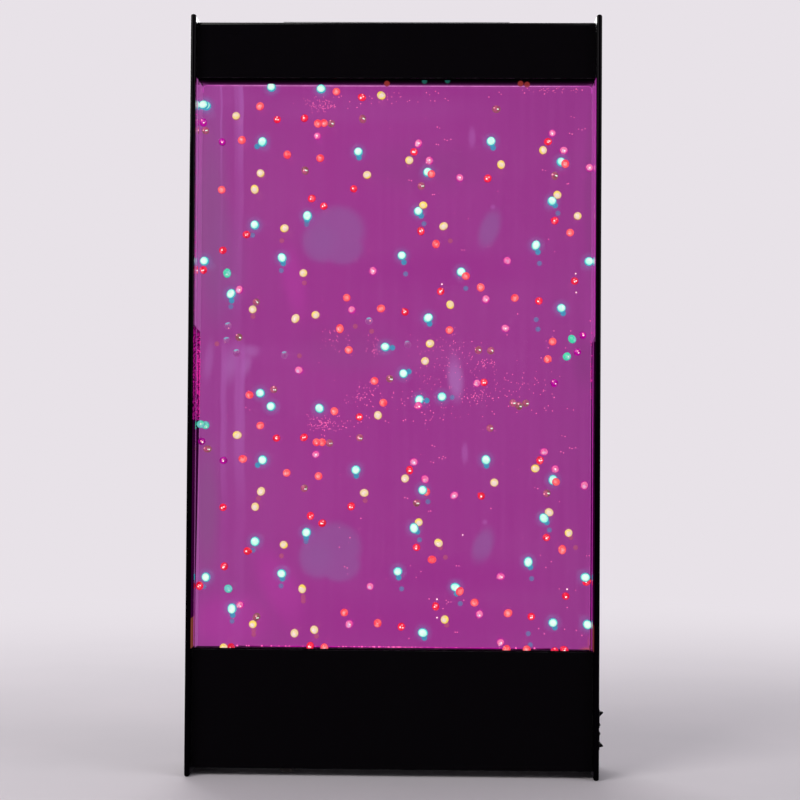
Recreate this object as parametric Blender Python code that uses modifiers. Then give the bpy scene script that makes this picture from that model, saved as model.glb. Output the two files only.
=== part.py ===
"""Luminous bead panel: a water panel that hangs on a wall, with beads adrift in front of a lit sheet.

Places are given in the panel's own frame. x runs to the right from the middle, y runs back
to the wall from the front edges of the cheeks, and z runs up from the cheeks' lower ends.
"""

import math

import bmesh
import bpy
from mathutils import Matrix, Vector

# Whole panel, in metres
PANEL_WIDTH = 0.450
PANEL_HEIGHT = 0.833
FIT_GAP = 0.0003
CUT_OVERRUN = 0.002
MERGE = 0.00001
EASE = 0.0005

# Side cheeks, full-height black plates with rounded edges
CHEEK_THICKNESS = 0.006
CHEEK_ROUND = 0.0025
CHEEK_ROUND_STEPS = 3

# Black covers above and below the window
COVER_RECESS = 0.010
COVER_THICKNESS = 0.005
COVER_ROUND = 0.003
COVER_ROUND_STEPS = 4
BOTTOM_OVERHANG = 0.008
BOTTOM_COVER_HEIGHT = 0.130
TOP_OVERHANG = 0.007
TOP_COVER_HEIGHT = 0.062
BASE_THICKNESS = 0.004
BACK_THICKNESS = 0.005
CLIP_SPACE = 0.0168

# Water tank between the cheeks
PANE_RECESS = 0.021
PANE_THICKNESS = 0.006
WATER_DEPTH = 0.035
TANK_TOP_RISE = 0.026
TANK_FLOOR_THICKNESS = 0.006
SHELF_THICKNESS = 0.008
BUBBLE_BAR_DROP = 0.0027
BUBBLE_BAR_HEIGHT = 0.008
BUBBLE_BAR_WALL = 0.002
BUBBLE_HOLE_RADIUS = 0.0008
BUBBLE_HOLE_PITCH = 0.015
BUBBLE_HOLE_SIDES = 6

# Tank lid, its filler hole and plug
TANK_LID_THICKNESS = 0.005
TANK_RIM_DEPTH = 0.004
TANK_RIM_INSET = 0.002
FILLER_RADIUS = 0.016
FILLER_OFFSET = 0.060
AIR_VENT_RADIUS = 0.0025
AIR_VENT_PITCH = 0.080
AIR_VENT_COUNT = 3
PLUG_STEM_DEPTH = 0.008
PLUG_TAPER = 0.0006
PLUG_HEAD_MARGIN = 0.003
PLUG_HEAD_HEIGHT = 0.004
PLUG_KNOB_RADIUS = 0.006
PLUG_NECK_RADIUS = 0.004
PLUG_KNOB_HEIGHT = 0.008

# Lift-off lid in the top plate
SERVICE_WIDTH = 0.240
SERVICE_DEPTH = 0.038
SERVICE_SET_BACK = 0.012
SERVICE_MARGIN = 0.005
SERVICE_LID_THICKNESS = 0.0025
SERVICE_SKIRT_DEPTH = 0.006
SERVICE_CLEARANCE = 0.0005

# Edge-lit sheet behind the tank
DIFFUSER_THICKNESS = 0.002
DIFFUSER_TUCK = 0.001
LIGHT_RISE = 0.011
GUIDE_THICKNESS = 0.006
REFLECTOR_THICKNESS = 0.001
CHANNEL_WALL = 0.001
CHANNEL_HEIGHT = 0.0127
STRIP_THICKNESS = 0.001
LED_SIDE = 0.0035
LED_HEIGHT = 0.0014
LED_SUNK = 0.0002
LED_PITCH = 0.0167
STRIP_END_MARGIN = 0.006

# Hanging rail on the back panel, and the bracket on the wall that it hooks over
RAIL_LENGTH = 0.300
CLIP_WALL = 0.002
RAIL_DROP = 0.078
RAIL_FLANGE_HEIGHT = 0.025
RAIL_HOOK_HEIGHT = 0.018
RAIL_HOOK_REACH = 0.0075
BRACKET_FLANGE_HEIGHT = 0.0225
WALL_HOLE_RADIUS = 0.0025
WALL_HOLE_PITCH = 0.120
WALL_HOLE_COUNT = 3
WALL_HOLE_DROP = 0.0115
HANGER_SCREW_PITCH = 0.200
HANGER_SCREW_RISE = 0.014
HANGER_SCREW_LENGTH = 0.0065

# Screws
SCREW_RADIUS = 0.0015
SCREW_HOLE_CLEARANCE = 0.0003
SCREW_HEAD_RADIUS = 0.0032
SCREW_HEAD_HEIGHT = 0.0022
SCREW_HEAD_EASE = 0.0006
BASE_SCREW_LENGTH = 0.0125
BLOCK_WIDTH = 0.012
BLOCK_HEIGHT = 0.012
BLOCK_END_MARGIN = 0.004
BLOCK_SCREW_INSET = 0.012

# Air pump, check valve and hoses
PUMP_INSET = 0.1357
PUMP_LENGTH = 0.110
PUMP_DEPTH = 0.044
PUMP_BODY_HEIGHT = 0.027
PUMP_COVER_HEIGHT = 0.016
PUMP_ROUND = 0.004
PUMP_ROUND_STEPS = 2
PAD_HEIGHT = 0.008
PAD_MARGIN = 0.010
SPOUT_RADIUS = 0.003
SPOUT_LENGTH = 0.014
SPOUT_RISE = 0.017
HOSE_RADIUS = 0.003
VALVE_RADIUS = 0.008
VALVE_STEM_RADIUS = 0.0026
VALVE_BODY_LENGTH = 0.010
VALVE_LENGTH = 0.030
VALVE_GAP = 0.016
TANK_INLET_INSET = 0.0337
INLET_STEM_RADIUS = 0.0039
INLET_STEM_RISE = 0.010
INLET_FLANGE_RADIUS = 0.008
INLET_FLANGE_HEIGHT = 0.003
INLET_TAIL_RADIUS = 0.003
INLET_TAIL_LENGTH = 0.014
INLET_CLEARANCE = 0.001

# Air vents in the base plate, below the pump
SLOT_COUNT = 6
SLOT_PITCH = 0.012
SLOT_WIDTH = 0.003
SLOT_LENGTH = 0.030

# Power socket in the base plate
SOCKET_INSET = 0.1037
SOCKET_RECESS = 0.028
SOCKET_BARREL_RADIUS = 0.0055
SOCKET_FLANGE_RADIUS = 0.0075
SOCKET_FLANGE_HEIGHT = 0.005
SOCKET_BARREL_HEIGHT = 0.014
SOCKET_BORE_RADIUS = 0.0034
SOCKET_BORE_DEPTH = 0.0105

# Control board on its tray
TRAY_INSET = 0.0687
TRAY_LIFT = 0.048
TRAY_WIDTH = 0.070
TRAY_HEIGHT = 0.060
TRAY_THICKNESS = 0.002
POST_RADIUS = 0.003
POST_LENGTH = 0.005
POST_INSET = 0.006
BOARD_INSET = 0.002
BOARD_THICKNESS = 0.0016
PART_SUNK = 0.0003
TERMINAL_SIZE = (0.010, 0.011, 0.010)
TRANSFORMER_SIZE = (0.024, 0.018, 0.022)
CHIP_SIZE = (0.014, 0.003, 0.014)
CAPACITOR_RADIUS = 0.005
CAPACITOR_LENGTH = 0.014
LEAD_RADIUS = 0.002

# Rocker switches in the right cheek
SWITCH_RECESS = 0.030
SWITCH_HEIGHT = 0.0522
SWITCH_SPACING = 0.024
BEZEL_LENGTH = 0.021
BEZEL_WIDTH = 0.015
BEZEL_STAND = 0.002
SWITCH_BODY_LENGTH = 0.0188
SWITCH_BODY_WIDTH = 0.0122
SWITCH_BODY_DEPTH = 0.020
WELL_LENGTH = 0.0172
WELL_WIDTH = 0.0106
WELL_DEPTH = 0.008
BLADE_LENGTH = 0.008
BLADE_WIDTH = 0.0048
BLADE_THICKNESS = 0.0008
BLADE_SPACING = 0.008
ROCKER_LENGTH = 0.0156
ROCKER_WIDTH = 0.0100
ROCKER_AXIS_SINK = 0.0012
ROCKER_TIP_RISE = 0.0038
ROCKER_TIP_FLAT = 0.0014
ROCKER_DIP = 0.0032
ROCKER_SKIRT = 0.0005
ROCKER_KEEL = 0.0042
ROCKER_DIP_STEPS = 6
ROCKER_TILT = math.radians(12)

# Beads in the water
BEAD_RADIUS = 0.0047
BEAD_SEGMENTS = 12
BEAD_RINGS = 8

# Facets
ROUND_STEPS = 16
TUBE_STEPS = 2
ROUTE_STEPS = 4

# Where each bead lies: colour, then across, up and back in the water as shares of its space
BEAD_SHARES = (
    ("mint", 0.210, 0.691, 0.657),
    ("mint", 0.584, 0.586, 0.771),
    ("mint", 0.842, 0.155, 0.714),
    ("mint", 0.742, 0.901, 0.800),
    ("cream", 0.153, 0.842, 0.743),
    ("cream", 0.577, 0.509, 0.629),
    ("cream", 0.895, 0.243, 0.800),
    ("coral", 0.603, 0.717, 0.657),
    ("coral", 0.944, 0.738, 0.629),
    ("magenta", 0.866, 0.617, 0.714),
)

# Component places on the board: across and up from its middle, as shares of its half sizes
TERMINAL_SHARES = ((-0.82, 0.72), (0.35, 0.72), (0.82, -0.55), (-0.82, -0.50))
TRANSFORMER_SHARES = (-0.20, -0.25)
CHIP_SHARES = (0.42, -0.10)
CAPACITOR_SHARES = ((-0.42, 0.62), (-0.08, 0.62))

# Levels and recesses that follow from the sizes above
inner_half = PANEL_WIDTH / 2 - CHEEK_THICKNESS - FIT_GAP
pump_left = PUMP_INSET - inner_half
tank_inlet_x = TANK_INLET_INSET - inner_half
socket_x = SOCKET_INSET - inner_half
tray_x = inner_half - TRAY_INSET
cover_low = BOTTOM_OVERHANG
cover_high = cover_low + BOTTOM_COVER_HEIGHT
crown_high = PANEL_HEIGHT - TOP_OVERHANG
crown_low = crown_high - TOP_COVER_HEIGHT
cover_back = COVER_RECESS + COVER_THICKNESS
water_front = PANE_RECESS + PANE_THICKNESS
water_back = water_front + WATER_DEPTH
water_middle = (water_front + water_back) / 2
tank_back = water_back + PANE_THICKNESS
bar_high = cover_high - BUBBLE_BAR_DROP
floor_high = bar_high - BUBBLE_BAR_HEIGHT - FIT_GAP
tank_low = floor_high - TANK_FLOOR_THICKNESS
tank_high = crown_low + TANK_TOP_RISE
shelf_high = tank_low - FIT_GAP
shelf_low = shelf_high - SHELF_THICKNESS
diffuser_front = tank_back + FIT_GAP
guide_front = diffuser_front + DIFFUSER_THICKNESS + FIT_GAP
guide_back = guide_front + GUIDE_THICKNESS
reflector_front = guide_back + FIT_GAP
back_front = reflector_front + REFLECTOR_THICKNESS + FIT_GAP
back_back = back_front + BACK_THICKNESS
panel_depth = back_back + CLIP_SPACE
diffuser_low = floor_high + DIFFUSER_TUCK
diffuser_high = crown_low + LIGHT_RISE
channel_front = guide_front - FIT_GAP - CHANNEL_WALL
channel_back = guide_back + FIT_GAP + CHANNEL_WALL
guide_end_gap = CHANNEL_WALL + STRIP_THICKNESS + LED_HEIGHT - LED_SUNK + 2 * FIT_GAP
base_high = cover_low + BASE_THICKNESS
tray_z = base_high + TRAY_LIFT
pump_middle = water_middle
pad_low = base_high + FIT_GAP
pump_low = pad_low + PAD_HEIGHT + FIT_GAP
spout_height = pump_low + SPOUT_RISE
rocker_proud = ROCKER_TIP_RISE * math.cos(ROCKER_TILT) + ROCKER_LENGTH / 2 * math.sin(ROCKER_TILT)
bezel_face = PANEL_WIDTH / 2 + FIT_GAP + BEZEL_STAND
rocker_axis_x = bezel_face - ROCKER_AXIS_SINK
stand_out = rocker_axis_x + rocker_proud - PANEL_WIDTH / 2


def clear_scene():
    for item in list(bpy.data.objects):
        bpy.data.objects.remove(item, do_unlink=True)


def collection(name):
    group = bpy.data.collections.new(name)
    bpy.context.scene.collection.children.link(group)
    return group


def finish(name, colour, roughness, metallic=0.0):
    material = bpy.data.materials.new(name)
    material.use_nodes = True
    shader = material.node_tree.nodes["Principled BSDF"]
    shader.inputs["Base Color"].default_value = (*colour, 1)
    shader.inputs["Roughness"].default_value = roughness
    shader.inputs["Metallic"].default_value = metallic
    return material


def seat(piece, centre, material):
    """Puts a piece in the panel's own frame."""
    parts.objects.link(piece)
    piece.parent = panel
    piece.location = centre
    piece.data.materials.append(material)
    return piece


def tool(name, mesh):
    """A shape that cuts or joins, kept out of renders."""
    piece = bpy.data.objects.new(name, mesh)
    cutters.objects.link(piece)
    piece.parent = panel
    piece.hide_render = True
    piece.display_type = "WIRE"
    return piece


def middle(low, high):
    return (Vector(low) + Vector(high)) / 2


def blocks_mesh(name, blocks, centre=(0, 0, 0)):
    """One mesh of boxes, each given by its low and high corners."""
    shape = bmesh.new()
    for low, high in blocks:
        size = Vector(high) - Vector(low)
        spot = Matrix.Translation(middle(low, high) - Vector(centre))
        bmesh.ops.create_cube(shape, size=1, matrix=spot @ Matrix.Diagonal((*size, 1)))
    mesh = bpy.data.meshes.new(name)
    shape.to_mesh(mesh)
    shape.free()
    return mesh


def rods_mesh(name, rods, turn=Matrix.Identity(4), steps=ROUND_STEPS):
    """One mesh of round bars, each a centre, a radius and a length. They stand along z until turned."""
    shape = bmesh.new()
    for centre, radius, length in rods:
        spot = Matrix.Translation(centre) @ turn
        bmesh.ops.create_cone(
            shape, cap_ends=True, segments=steps, radius1=radius, radius2=radius, depth=length, matrix=spot
        )
    mesh = bpy.data.meshes.new(name)
    shape.to_mesh(mesh)
    shape.free()
    return mesh


def block(name, low, high, material, rounding=0.0, steps=1):
    centre = middle(low, high)
    piece = bpy.data.objects.new(name, blocks_mesh(name, [(low, high)], centre))
    seat(piece, centre, material)
    if rounding:
        round_edges(piece, rounding, steps)
    return piece


def round_edges(piece, width, steps=1):
    bevel = piece.modifiers.new("Rounding", "BEVEL")
    bevel.width = width
    bevel.segments = steps
    bevel.limit_method = "ANGLE"


def combine(piece, other, operation):
    step = piece.modifiers.new(other.name, "BOOLEAN")
    step.operation = operation
    step.object = other


def cut(piece, name, mesh):
    combine(piece, tool(name, mesh), "DIFFERENCE")


def join(piece, name, mesh):
    combine(piece, tool(name, mesh), "UNION")


def extruded(name, outline, length, material, easing=0.0):
    """A flat outline of (back, up) points, drawn out along x about the middle."""
    curve = bpy.data.curves.new(name, "CURVE")
    curve.dimensions = "2D"
    curve.fill_mode = "BOTH"
    curve.extrude = length / 2
    spline = curve.splines.new("POLY")
    spline.points.add(len(outline) - 1)
    for point, (back, up) in zip(spline.points, outline):
        point.co = (back, up, 0, 1)
    spline.use_cyclic_u = True
    piece = seat(bpy.data.objects.new(name, curve), (0, 0, 0), material)
    piece.rotation_euler = (math.pi / 2, 0, math.pi / 2)
    if easing:
        weld = piece.modifiers.new("Weld", "WELD")
        weld.merge_threshold = MERGE
        round_edges(piece, easing)
    return piece


def turned(name, profile, centre, material, rotation=(0, 0, 0)):
    """A profile of (radius, height) points, from the top of the axis to its foot, turned about z."""
    shape = bmesh.new()
    points = [shape.verts.new((radius, 0, height)) for radius, height in profile]
    for first, second in zip(points, points[1:]):
        shape.edges.new((first, second))
    mesh = bpy.data.meshes.new(name)
    shape.to_mesh(mesh)
    shape.free()
    piece = seat(bpy.data.objects.new(name, mesh), centre, material)
    piece.rotation_euler = rotation
    screw = piece.modifiers.new("Turn", "SCREW")
    screw.steps = ROUND_STEPS
    screw.render_steps = ROUND_STEPS
    screw.use_merge_vertices = True
    screw.merge_threshold = MERGE
    return piece


def solid_copy(piece):
    """The evaluated shape of a curve as a mesh, so that it can be cut or joined."""
    bpy.context.view_layer.update()
    graph = bpy.context.evaluated_depsgraph_get()
    mesh = bpy.data.meshes.new_from_object(piece.evaluated_get(graph))
    shape = bmesh.new()
    shape.from_mesh(mesh)
    bmesh.ops.remove_doubles(shape, verts=shape.verts, dist=MERGE)
    bmesh.ops.recalc_face_normals(shape, faces=shape.faces)
    shape.to_mesh(mesh)
    shape.free()
    name = piece.name
    copy = bpy.data.objects.new(name + "_solid", mesh)
    parts.objects.link(copy)
    copy.parent = panel
    copy.location = piece.location
    copy.rotation_euler = piece.rotation_euler
    bpy.data.objects.remove(piece, do_unlink=True)
    copy.name = name
    return copy


def smooth_route(knots):
    """Points along a smooth curve through the knots."""
    spots = [Vector(knot) for knot in knots]
    ends = [2 * spots[0] - spots[1], *spots, 2 * spots[-1] - spots[-2]]
    points = []
    for before, start, stop, after in zip(ends, ends[1:], ends[2:], ends[3:]):
        for step in range(ROUTE_STEPS):
            t = step / ROUTE_STEPS
            pull = (stop - before) * t + (2 * before - 5 * start + 4 * stop - after) * t**2
            points.append(start + (pull + (3 * start - before - 3 * stop + after) * t**3) / 2)
    return points + [spots[-1]]


def tube(name, knots, radius, material):
    curve = bpy.data.curves.new(name, "CURVE")
    curve.dimensions = "3D"
    curve.bevel_depth = radius
    curve.bevel_resolution = TUBE_STEPS
    curve.use_fill_caps = True
    spline = curve.splines.new("POLY")
    points = smooth_route(knots)
    spline.points.add(len(points) - 1)
    for point, spot in zip(spline.points, points):
        point.co = (*spot, 1)
    return seat(bpy.data.objects.new(name, curve), (0, 0, 0), material)


def spread(count, pitch):
    """Places of a row of copies about its middle."""
    return [(number - (count - 1) / 2) * pitch for number in range(count)]


def make_cheeks():
    for name, side in (("left_cheek", -1), ("right_cheek", 1)):
        inner = PANEL_WIDTH / 2 - CHEEK_THICKNESS
        edges = sorted((side * inner, side * PANEL_WIDTH / 2))
        low = (edges[0], 0, 0)
        high = (edges[1], panel_depth, PANEL_HEIGHT)
        cheek = block(name, low, high, black_gloss, CHEEK_ROUND, CHEEK_ROUND_STEPS)
        if side > 0:
            cut_switch_holes(cheek, inner)


def cut_switch_holes(cheek, inner):
    half_length = SWITCH_BODY_LENGTH / 2 + FIT_GAP
    half_width = SWITCH_BODY_WIDTH / 2 + FIT_GAP
    holes = []
    for height in switch_heights():
        low = (inner - CUT_OVERRUN, SWITCH_RECESS - half_width, height - half_length)
        high = (PANEL_WIDTH / 2 + CUT_OVERRUN, SWITCH_RECESS + half_width, height + half_length)
        holes.append((low, high))
    cut(cheek, "switch_holes", blocks_mesh("switch_holes", holes))


def switch_heights():
    return (SWITCH_HEIGHT + SWITCH_SPACING / 2, SWITCH_HEIGHT - SWITCH_SPACING / 2)


def quarter_round(back, up, start):
    """The rounded outer edge of a cover, turning anticlockwise about the point given."""
    points = []
    for step in range(COVER_ROUND_STEPS + 1):
        angle = start + math.pi / 2 * step / COVER_ROUND_STEPS
        points.append((back + COVER_ROUND * math.cos(angle), up + COVER_ROUND * math.sin(angle)))
    return points


def make_covers():
    lip_back = PANE_RECESS - FIT_GAP
    bottom_outline = (
        *quarter_round(COVER_RECESS + COVER_ROUND, cover_low + COVER_ROUND, math.pi),
        (cover_back, cover_low),
        (cover_back, cover_high - COVER_THICKNESS),
        (lip_back, cover_high - COVER_THICKNESS),
        (lip_back, cover_high),
        (COVER_RECESS, cover_high),
    )
    extruded("bottom_fascia", bottom_outline, 2 * inner_half, black_gloss, EASE)
    top_outline = (
        (COVER_RECESS, crown_low),
        (lip_back, crown_low),
        (lip_back, crown_low + COVER_THICKNESS),
        (cover_back, crown_low + COVER_THICKNESS),
        (cover_back, crown_high),
        *quarter_round(COVER_RECESS + COVER_ROUND, crown_high - COVER_ROUND, math.pi / 2),
    )
    extruded("top_fascia", top_outline, 2 * inner_half, black_gloss, EASE)


def make_top_plate():
    low = (-inner_half, cover_back + FIT_GAP, crown_high - COVER_THICKNESS)
    high = (inner_half, back_front - FIT_GAP, crown_high)
    plate = block("top_plate", low, high, black_gloss)
    front = cover_back + SERVICE_SET_BACK
    opening_low = (-SERVICE_WIDTH / 2, front, low[2] - CUT_OVERRUN)
    opening_high = (SERVICE_WIDTH / 2, front + SERVICE_DEPTH, high[2] + CUT_OVERRUN)
    cut(plate, "service_opening", blocks_mesh("service_opening", [(opening_low, opening_high)]))


def make_service_lid():
    front = cover_back + SERVICE_SET_BACK
    lid_low = crown_high + FIT_GAP
    lid_half = SERVICE_WIDTH / 2 + SERVICE_MARGIN
    low = (-lid_half, front - SERVICE_MARGIN, lid_low)
    high = (lid_half, front + SERVICE_DEPTH + SERVICE_MARGIN, lid_low + SERVICE_LID_THICKNESS)
    lid = block("service_lid", low, high, black_gloss, EASE)
    skirt_half = SERVICE_WIDTH / 2 - SERVICE_CLEARANCE
    skirt_low = (-skirt_half, front + SERVICE_CLEARANCE, lid_low - SERVICE_SKIRT_DEPTH)
    skirt_high = (skirt_half, front + SERVICE_DEPTH - SERVICE_CLEARANCE, lid_low + SERVICE_LID_THICKNESS / 2)
    join(lid, "service_skirt", blocks_mesh("service_skirt", [(skirt_low, skirt_high)]))


def screw_places():
    """Where the base plate's screws stand: x, y."""
    across = inner_half - BLOCK_WIDTH / 2
    front = cover_back + FIT_GAP + BLOCK_END_MARGIN + BLOCK_SCREW_INSET
    back = back_front - FIT_GAP - BLOCK_END_MARGIN - BLOCK_SCREW_INSET
    return [(side * across, depth) for side in (-1, 1) for depth in (front, back)]


def make_base_plate():
    low = (-inner_half, cover_back + FIT_GAP, cover_low)
    high = (inner_half, back_front - FIT_GAP, base_high)
    plate = block("base_plate", low, high, black_satin)
    level = (cover_low + base_high) / 2
    length = BASE_THICKNESS + 2 * CUT_OVERRUN
    holes = [((x, y, level), SCREW_RADIUS + SCREW_HOLE_CLEARANCE, length) for x, y in screw_places()]
    holes.append(((socket_x, SOCKET_RECESS, level), SOCKET_BARREL_RADIUS + FIT_GAP, length))
    cut(plate, "base_holes", rods_mesh("base_holes", holes))
    slots = []
    for offset in spread(SLOT_COUNT, SLOT_PITCH):
        x = pump_left + PUMP_LENGTH / 2 + offset
        slot_low = (x - SLOT_WIDTH / 2, pump_middle - SLOT_LENGTH / 2, cover_low - CUT_OVERRUN)
        slot_high = (x + SLOT_WIDTH / 2, pump_middle + SLOT_LENGTH / 2, base_high + CUT_OVERRUN)
        slots.append((slot_low, slot_high))
    cut(plate, "air_slots", blocks_mesh("air_slots", slots))


def make_screw_blocks():
    level = base_high + FIT_GAP
    hole_length = BASE_SCREW_LENGTH + 2 * CUT_OVERRUN
    for name, side in (("screw_block_left", -1), ("screw_block_right", 1)):
        edges = sorted((side * (inner_half - BLOCK_WIDTH), side * inner_half))
        low = (edges[0], cover_back + FIT_GAP + BLOCK_END_MARGIN, level)
        high = (edges[1], back_front - FIT_GAP - BLOCK_END_MARGIN, level + BLOCK_HEIGHT)
        bar = block(name, low, high, black_satin)
        centre_z = cover_low - CUT_OVERRUN + hole_length / 2
        spots = [place for place in screw_places() if place[0] * side > 0]
        holes = [((x, y, centre_z), SCREW_RADIUS + SCREW_HOLE_CLEARANCE, hole_length) for x, y in spots]
        cut(bar, name + "_holes", rods_mesh(name + "_holes", holes))


def screw_profile(length):
    """A pan-head screw with its head's seat at height 0 and its point up."""
    return (
        (0, length),
        (SCREW_RADIUS - SCREW_HEAD_EASE, length),
        (SCREW_RADIUS, length - SCREW_HEAD_EASE),
        (SCREW_RADIUS, 0),
        (SCREW_HEAD_RADIUS, 0),
        (SCREW_HEAD_RADIUS, SCREW_HEAD_EASE - SCREW_HEAD_HEIGHT),
        (SCREW_HEAD_RADIUS - SCREW_HEAD_EASE, -SCREW_HEAD_HEIGHT),
        (0, -SCREW_HEAD_HEIGHT),
    )


def make_base_screws():
    for number, (x, y) in enumerate(screw_places(), 1):
        centre = (x, y, cover_low - FIT_GAP)
        turned(f"base_screw_{number}", screw_profile(BASE_SCREW_LENGTH), centre, zinc)


def hanger_screw_height():
    return rail_web_high() + HANGER_SCREW_RISE


def rail_web_high():
    return crown_high - RAIL_DROP + CLIP_WALL


def make_back_panel():
    low = (-inner_half, back_front, cover_low)
    high = (inner_half, back_back, crown_high)
    sheet = block("back_panel", low, high, black_satin)
    cut(sheet, "hanger_holes", hanger_holes_mesh("hanger_holes", (back_front + back_back) / 2))


def hanger_holes_mesh(name, depth):
    turn = Matrix.Rotation(math.pi / 2, 4, "X")
    length = BACK_THICKNESS + 2 * CUT_OVERRUN
    holes = []
    for x in spread(2, HANGER_SCREW_PITCH):
        holes.append(((x, depth, hanger_screw_height()), SCREW_RADIUS + SCREW_HOLE_CLEARANCE, length))
    return rods_mesh(name, holes, turn)


def make_hanger_rail():
    front = back_back + FIT_GAP
    hook_front = front + RAIL_HOOK_REACH - CLIP_WALL
    web_high = rail_web_high()
    web_low = web_high - CLIP_WALL
    outline = (
        (front, web_low),
        (hook_front, web_low),
        (hook_front, web_high - RAIL_HOOK_HEIGHT),
        (front + RAIL_HOOK_REACH, web_high - RAIL_HOOK_HEIGHT),
        (front + RAIL_HOOK_REACH, web_high),
        (front + CLIP_WALL, web_high),
        (front + CLIP_WALL, web_high - CLIP_WALL + RAIL_FLANGE_HEIGHT),
        (front, web_high - CLIP_WALL + RAIL_FLANGE_HEIGHT),
    )
    rail = solid_copy(extruded("hanger_rail", outline, RAIL_LENGTH, aluminium))
    cut(rail, "hanger_rail_holes", hanger_holes_mesh("hanger_rail_holes", front + CLIP_WALL / 2))


def make_hanger_screws():
    seat_depth = back_back + FIT_GAP + CLIP_WALL + FIT_GAP
    for number, x in enumerate(spread(2, HANGER_SCREW_PITCH), 1):
        centre = (x, seat_depth, hanger_screw_height())
        profile = screw_profile(HANGER_SCREW_LENGTH)
        turned(f"hanger_screw_{number}", profile, centre, zinc, (math.pi / 2, 0, 0))


def make_wall_bracket():
    hook_back = back_back + FIT_GAP + RAIL_HOOK_REACH - CLIP_WALL - FIT_GAP
    hook_front = hook_back - CLIP_WALL
    web_high = rail_web_high() - RAIL_HOOK_HEIGHT - FIT_GAP
    web_low = web_high - CLIP_WALL
    hook_high = rail_web_high() - CLIP_WALL - FIT_GAP
    flange_low = web_high - BRACKET_FLANGE_HEIGHT - CLIP_WALL
    outline = (
        (panel_depth, flange_low),
        (panel_depth, web_high),
        (hook_back, web_high),
        (hook_back, hook_high),
        (hook_front, hook_high),
        (hook_front, web_low),
        (panel_depth - CLIP_WALL, web_low),
        (panel_depth - CLIP_WALL, flange_low),
    )
    bracket = solid_copy(extruded("wall_bracket", outline, RAIL_LENGTH, aluminium))
    turn = Matrix.Rotation(math.pi / 2, 4, "X")
    length = CLIP_WALL + 2 * CUT_OVERRUN
    level = web_low - WALL_HOLE_DROP
    centre_y = panel_depth - CLIP_WALL / 2
    places = spread(WALL_HOLE_COUNT, WALL_HOLE_PITCH)
    holes = [((x, centre_y, level), WALL_HOLE_RADIUS, length) for x in places]
    cut(bracket, "wall_holes", rods_mesh("wall_holes", holes, turn))


def make_tank():
    """The cheeks are the tank's ends. Its floor rests on a shelf across the housing."""
    low = (-inner_half, cover_back + FIT_GAP, shelf_low)
    shelf = block("tank_shelf", low, (inner_half, channel_front - FIT_GAP, shelf_high), black_satin)
    cut_inlet_hole(shelf, (shelf_low, shelf_high), INLET_FLANGE_RADIUS + INLET_CLEARANCE)
    make_pane("front_pane", PANE_RECESS)
    make_pane("back_pane", water_back)
    low = (-inner_half, water_front + FIT_GAP, tank_low)
    floor = block("tank_floor", low, (inner_half, water_back - FIT_GAP, floor_high), clear_acrylic)
    cut_inlet_hole(floor, (tank_low, floor_high), INLET_STEM_RADIUS + FIT_GAP)


def make_pane(name, front):
    low = (-inner_half, front, tank_low)
    block(name, low, (inner_half, front + PANE_THICKNESS, tank_high), clear_acrylic, EASE)


def cut_inlet_hole(plate, levels, radius):
    foot, top = levels
    centre = (tank_inlet_x, water_middle, (foot + top) / 2)
    name = plate.name + "_inlet_hole"
    cut(plate, name, rods_mesh(name, [(centre, radius, top - foot + 2 * CUT_OVERRUN)]))


def make_bubble_bar():
    """A black plenum on the tank's floor, open below, with a row of fine holes along its top."""
    low = (-inner_half + FIT_GAP, water_front + FIT_GAP, floor_high + FIT_GAP)
    high = (inner_half - FIT_GAP, water_back - FIT_GAP, bar_high)
    bar = block("bubble_bar", low, high, black_satin)
    wall = Vector((BUBBLE_BAR_WALL, BUBBLE_BAR_WALL, -CUT_OVERRUN))
    hollow = (Vector(low) + wall, Vector(high) - Vector((BUBBLE_BAR_WALL,) * 3))
    cut(bar, "bar_hollow", blocks_mesh("bar_hollow", [hollow]))
    count = int((2 * inner_half - BUBBLE_HOLE_PITCH) / BUBBLE_HOLE_PITCH)
    length = BUBBLE_BAR_WALL + 2 * CUT_OVERRUN
    centre_z = bar_high - BUBBLE_BAR_WALL / 2
    holes = []
    for x in spread(count, BUBBLE_HOLE_PITCH):
        holes.append(((x, water_middle, centre_z), BUBBLE_HOLE_RADIUS, length))
    cut(bar, "bubble_holes", rods_mesh("bubble_holes", holes, steps=BUBBLE_HOLE_SIDES))


def make_tank_lid():
    low = (-inner_half, PANE_RECESS, tank_high + FIT_GAP)
    high = (inner_half, tank_back, tank_high + FIT_GAP + TANK_LID_THICKNESS)
    lid = block("tank_lid", low, high, clear_acrylic)
    rim_half = inner_half - TANK_RIM_INSET
    rim_low = (-rim_half, water_front + FIT_GAP, low[2] - TANK_RIM_DEPTH)
    rim_high = (rim_half, water_back - FIT_GAP, low[2] + TANK_LID_THICKNESS / 2)
    join(lid, "lid_rim", blocks_mesh("lid_rim", [(rim_low, rim_high)]))
    length = TANK_LID_THICKNESS + TANK_RIM_DEPTH + 2 * CUT_OVERRUN
    centre_z = (rim_low[2] + high[2]) / 2
    holes = [((FILLER_OFFSET, water_middle, centre_z), FILLER_RADIUS, length)]
    for x in spread(AIR_VENT_COUNT, AIR_VENT_PITCH):
        holes.append(((x - AIR_VENT_PITCH, water_middle, centre_z), AIR_VENT_RADIUS, length))
    cut(lid, "lid_holes", rods_mesh("lid_holes", holes))


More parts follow.
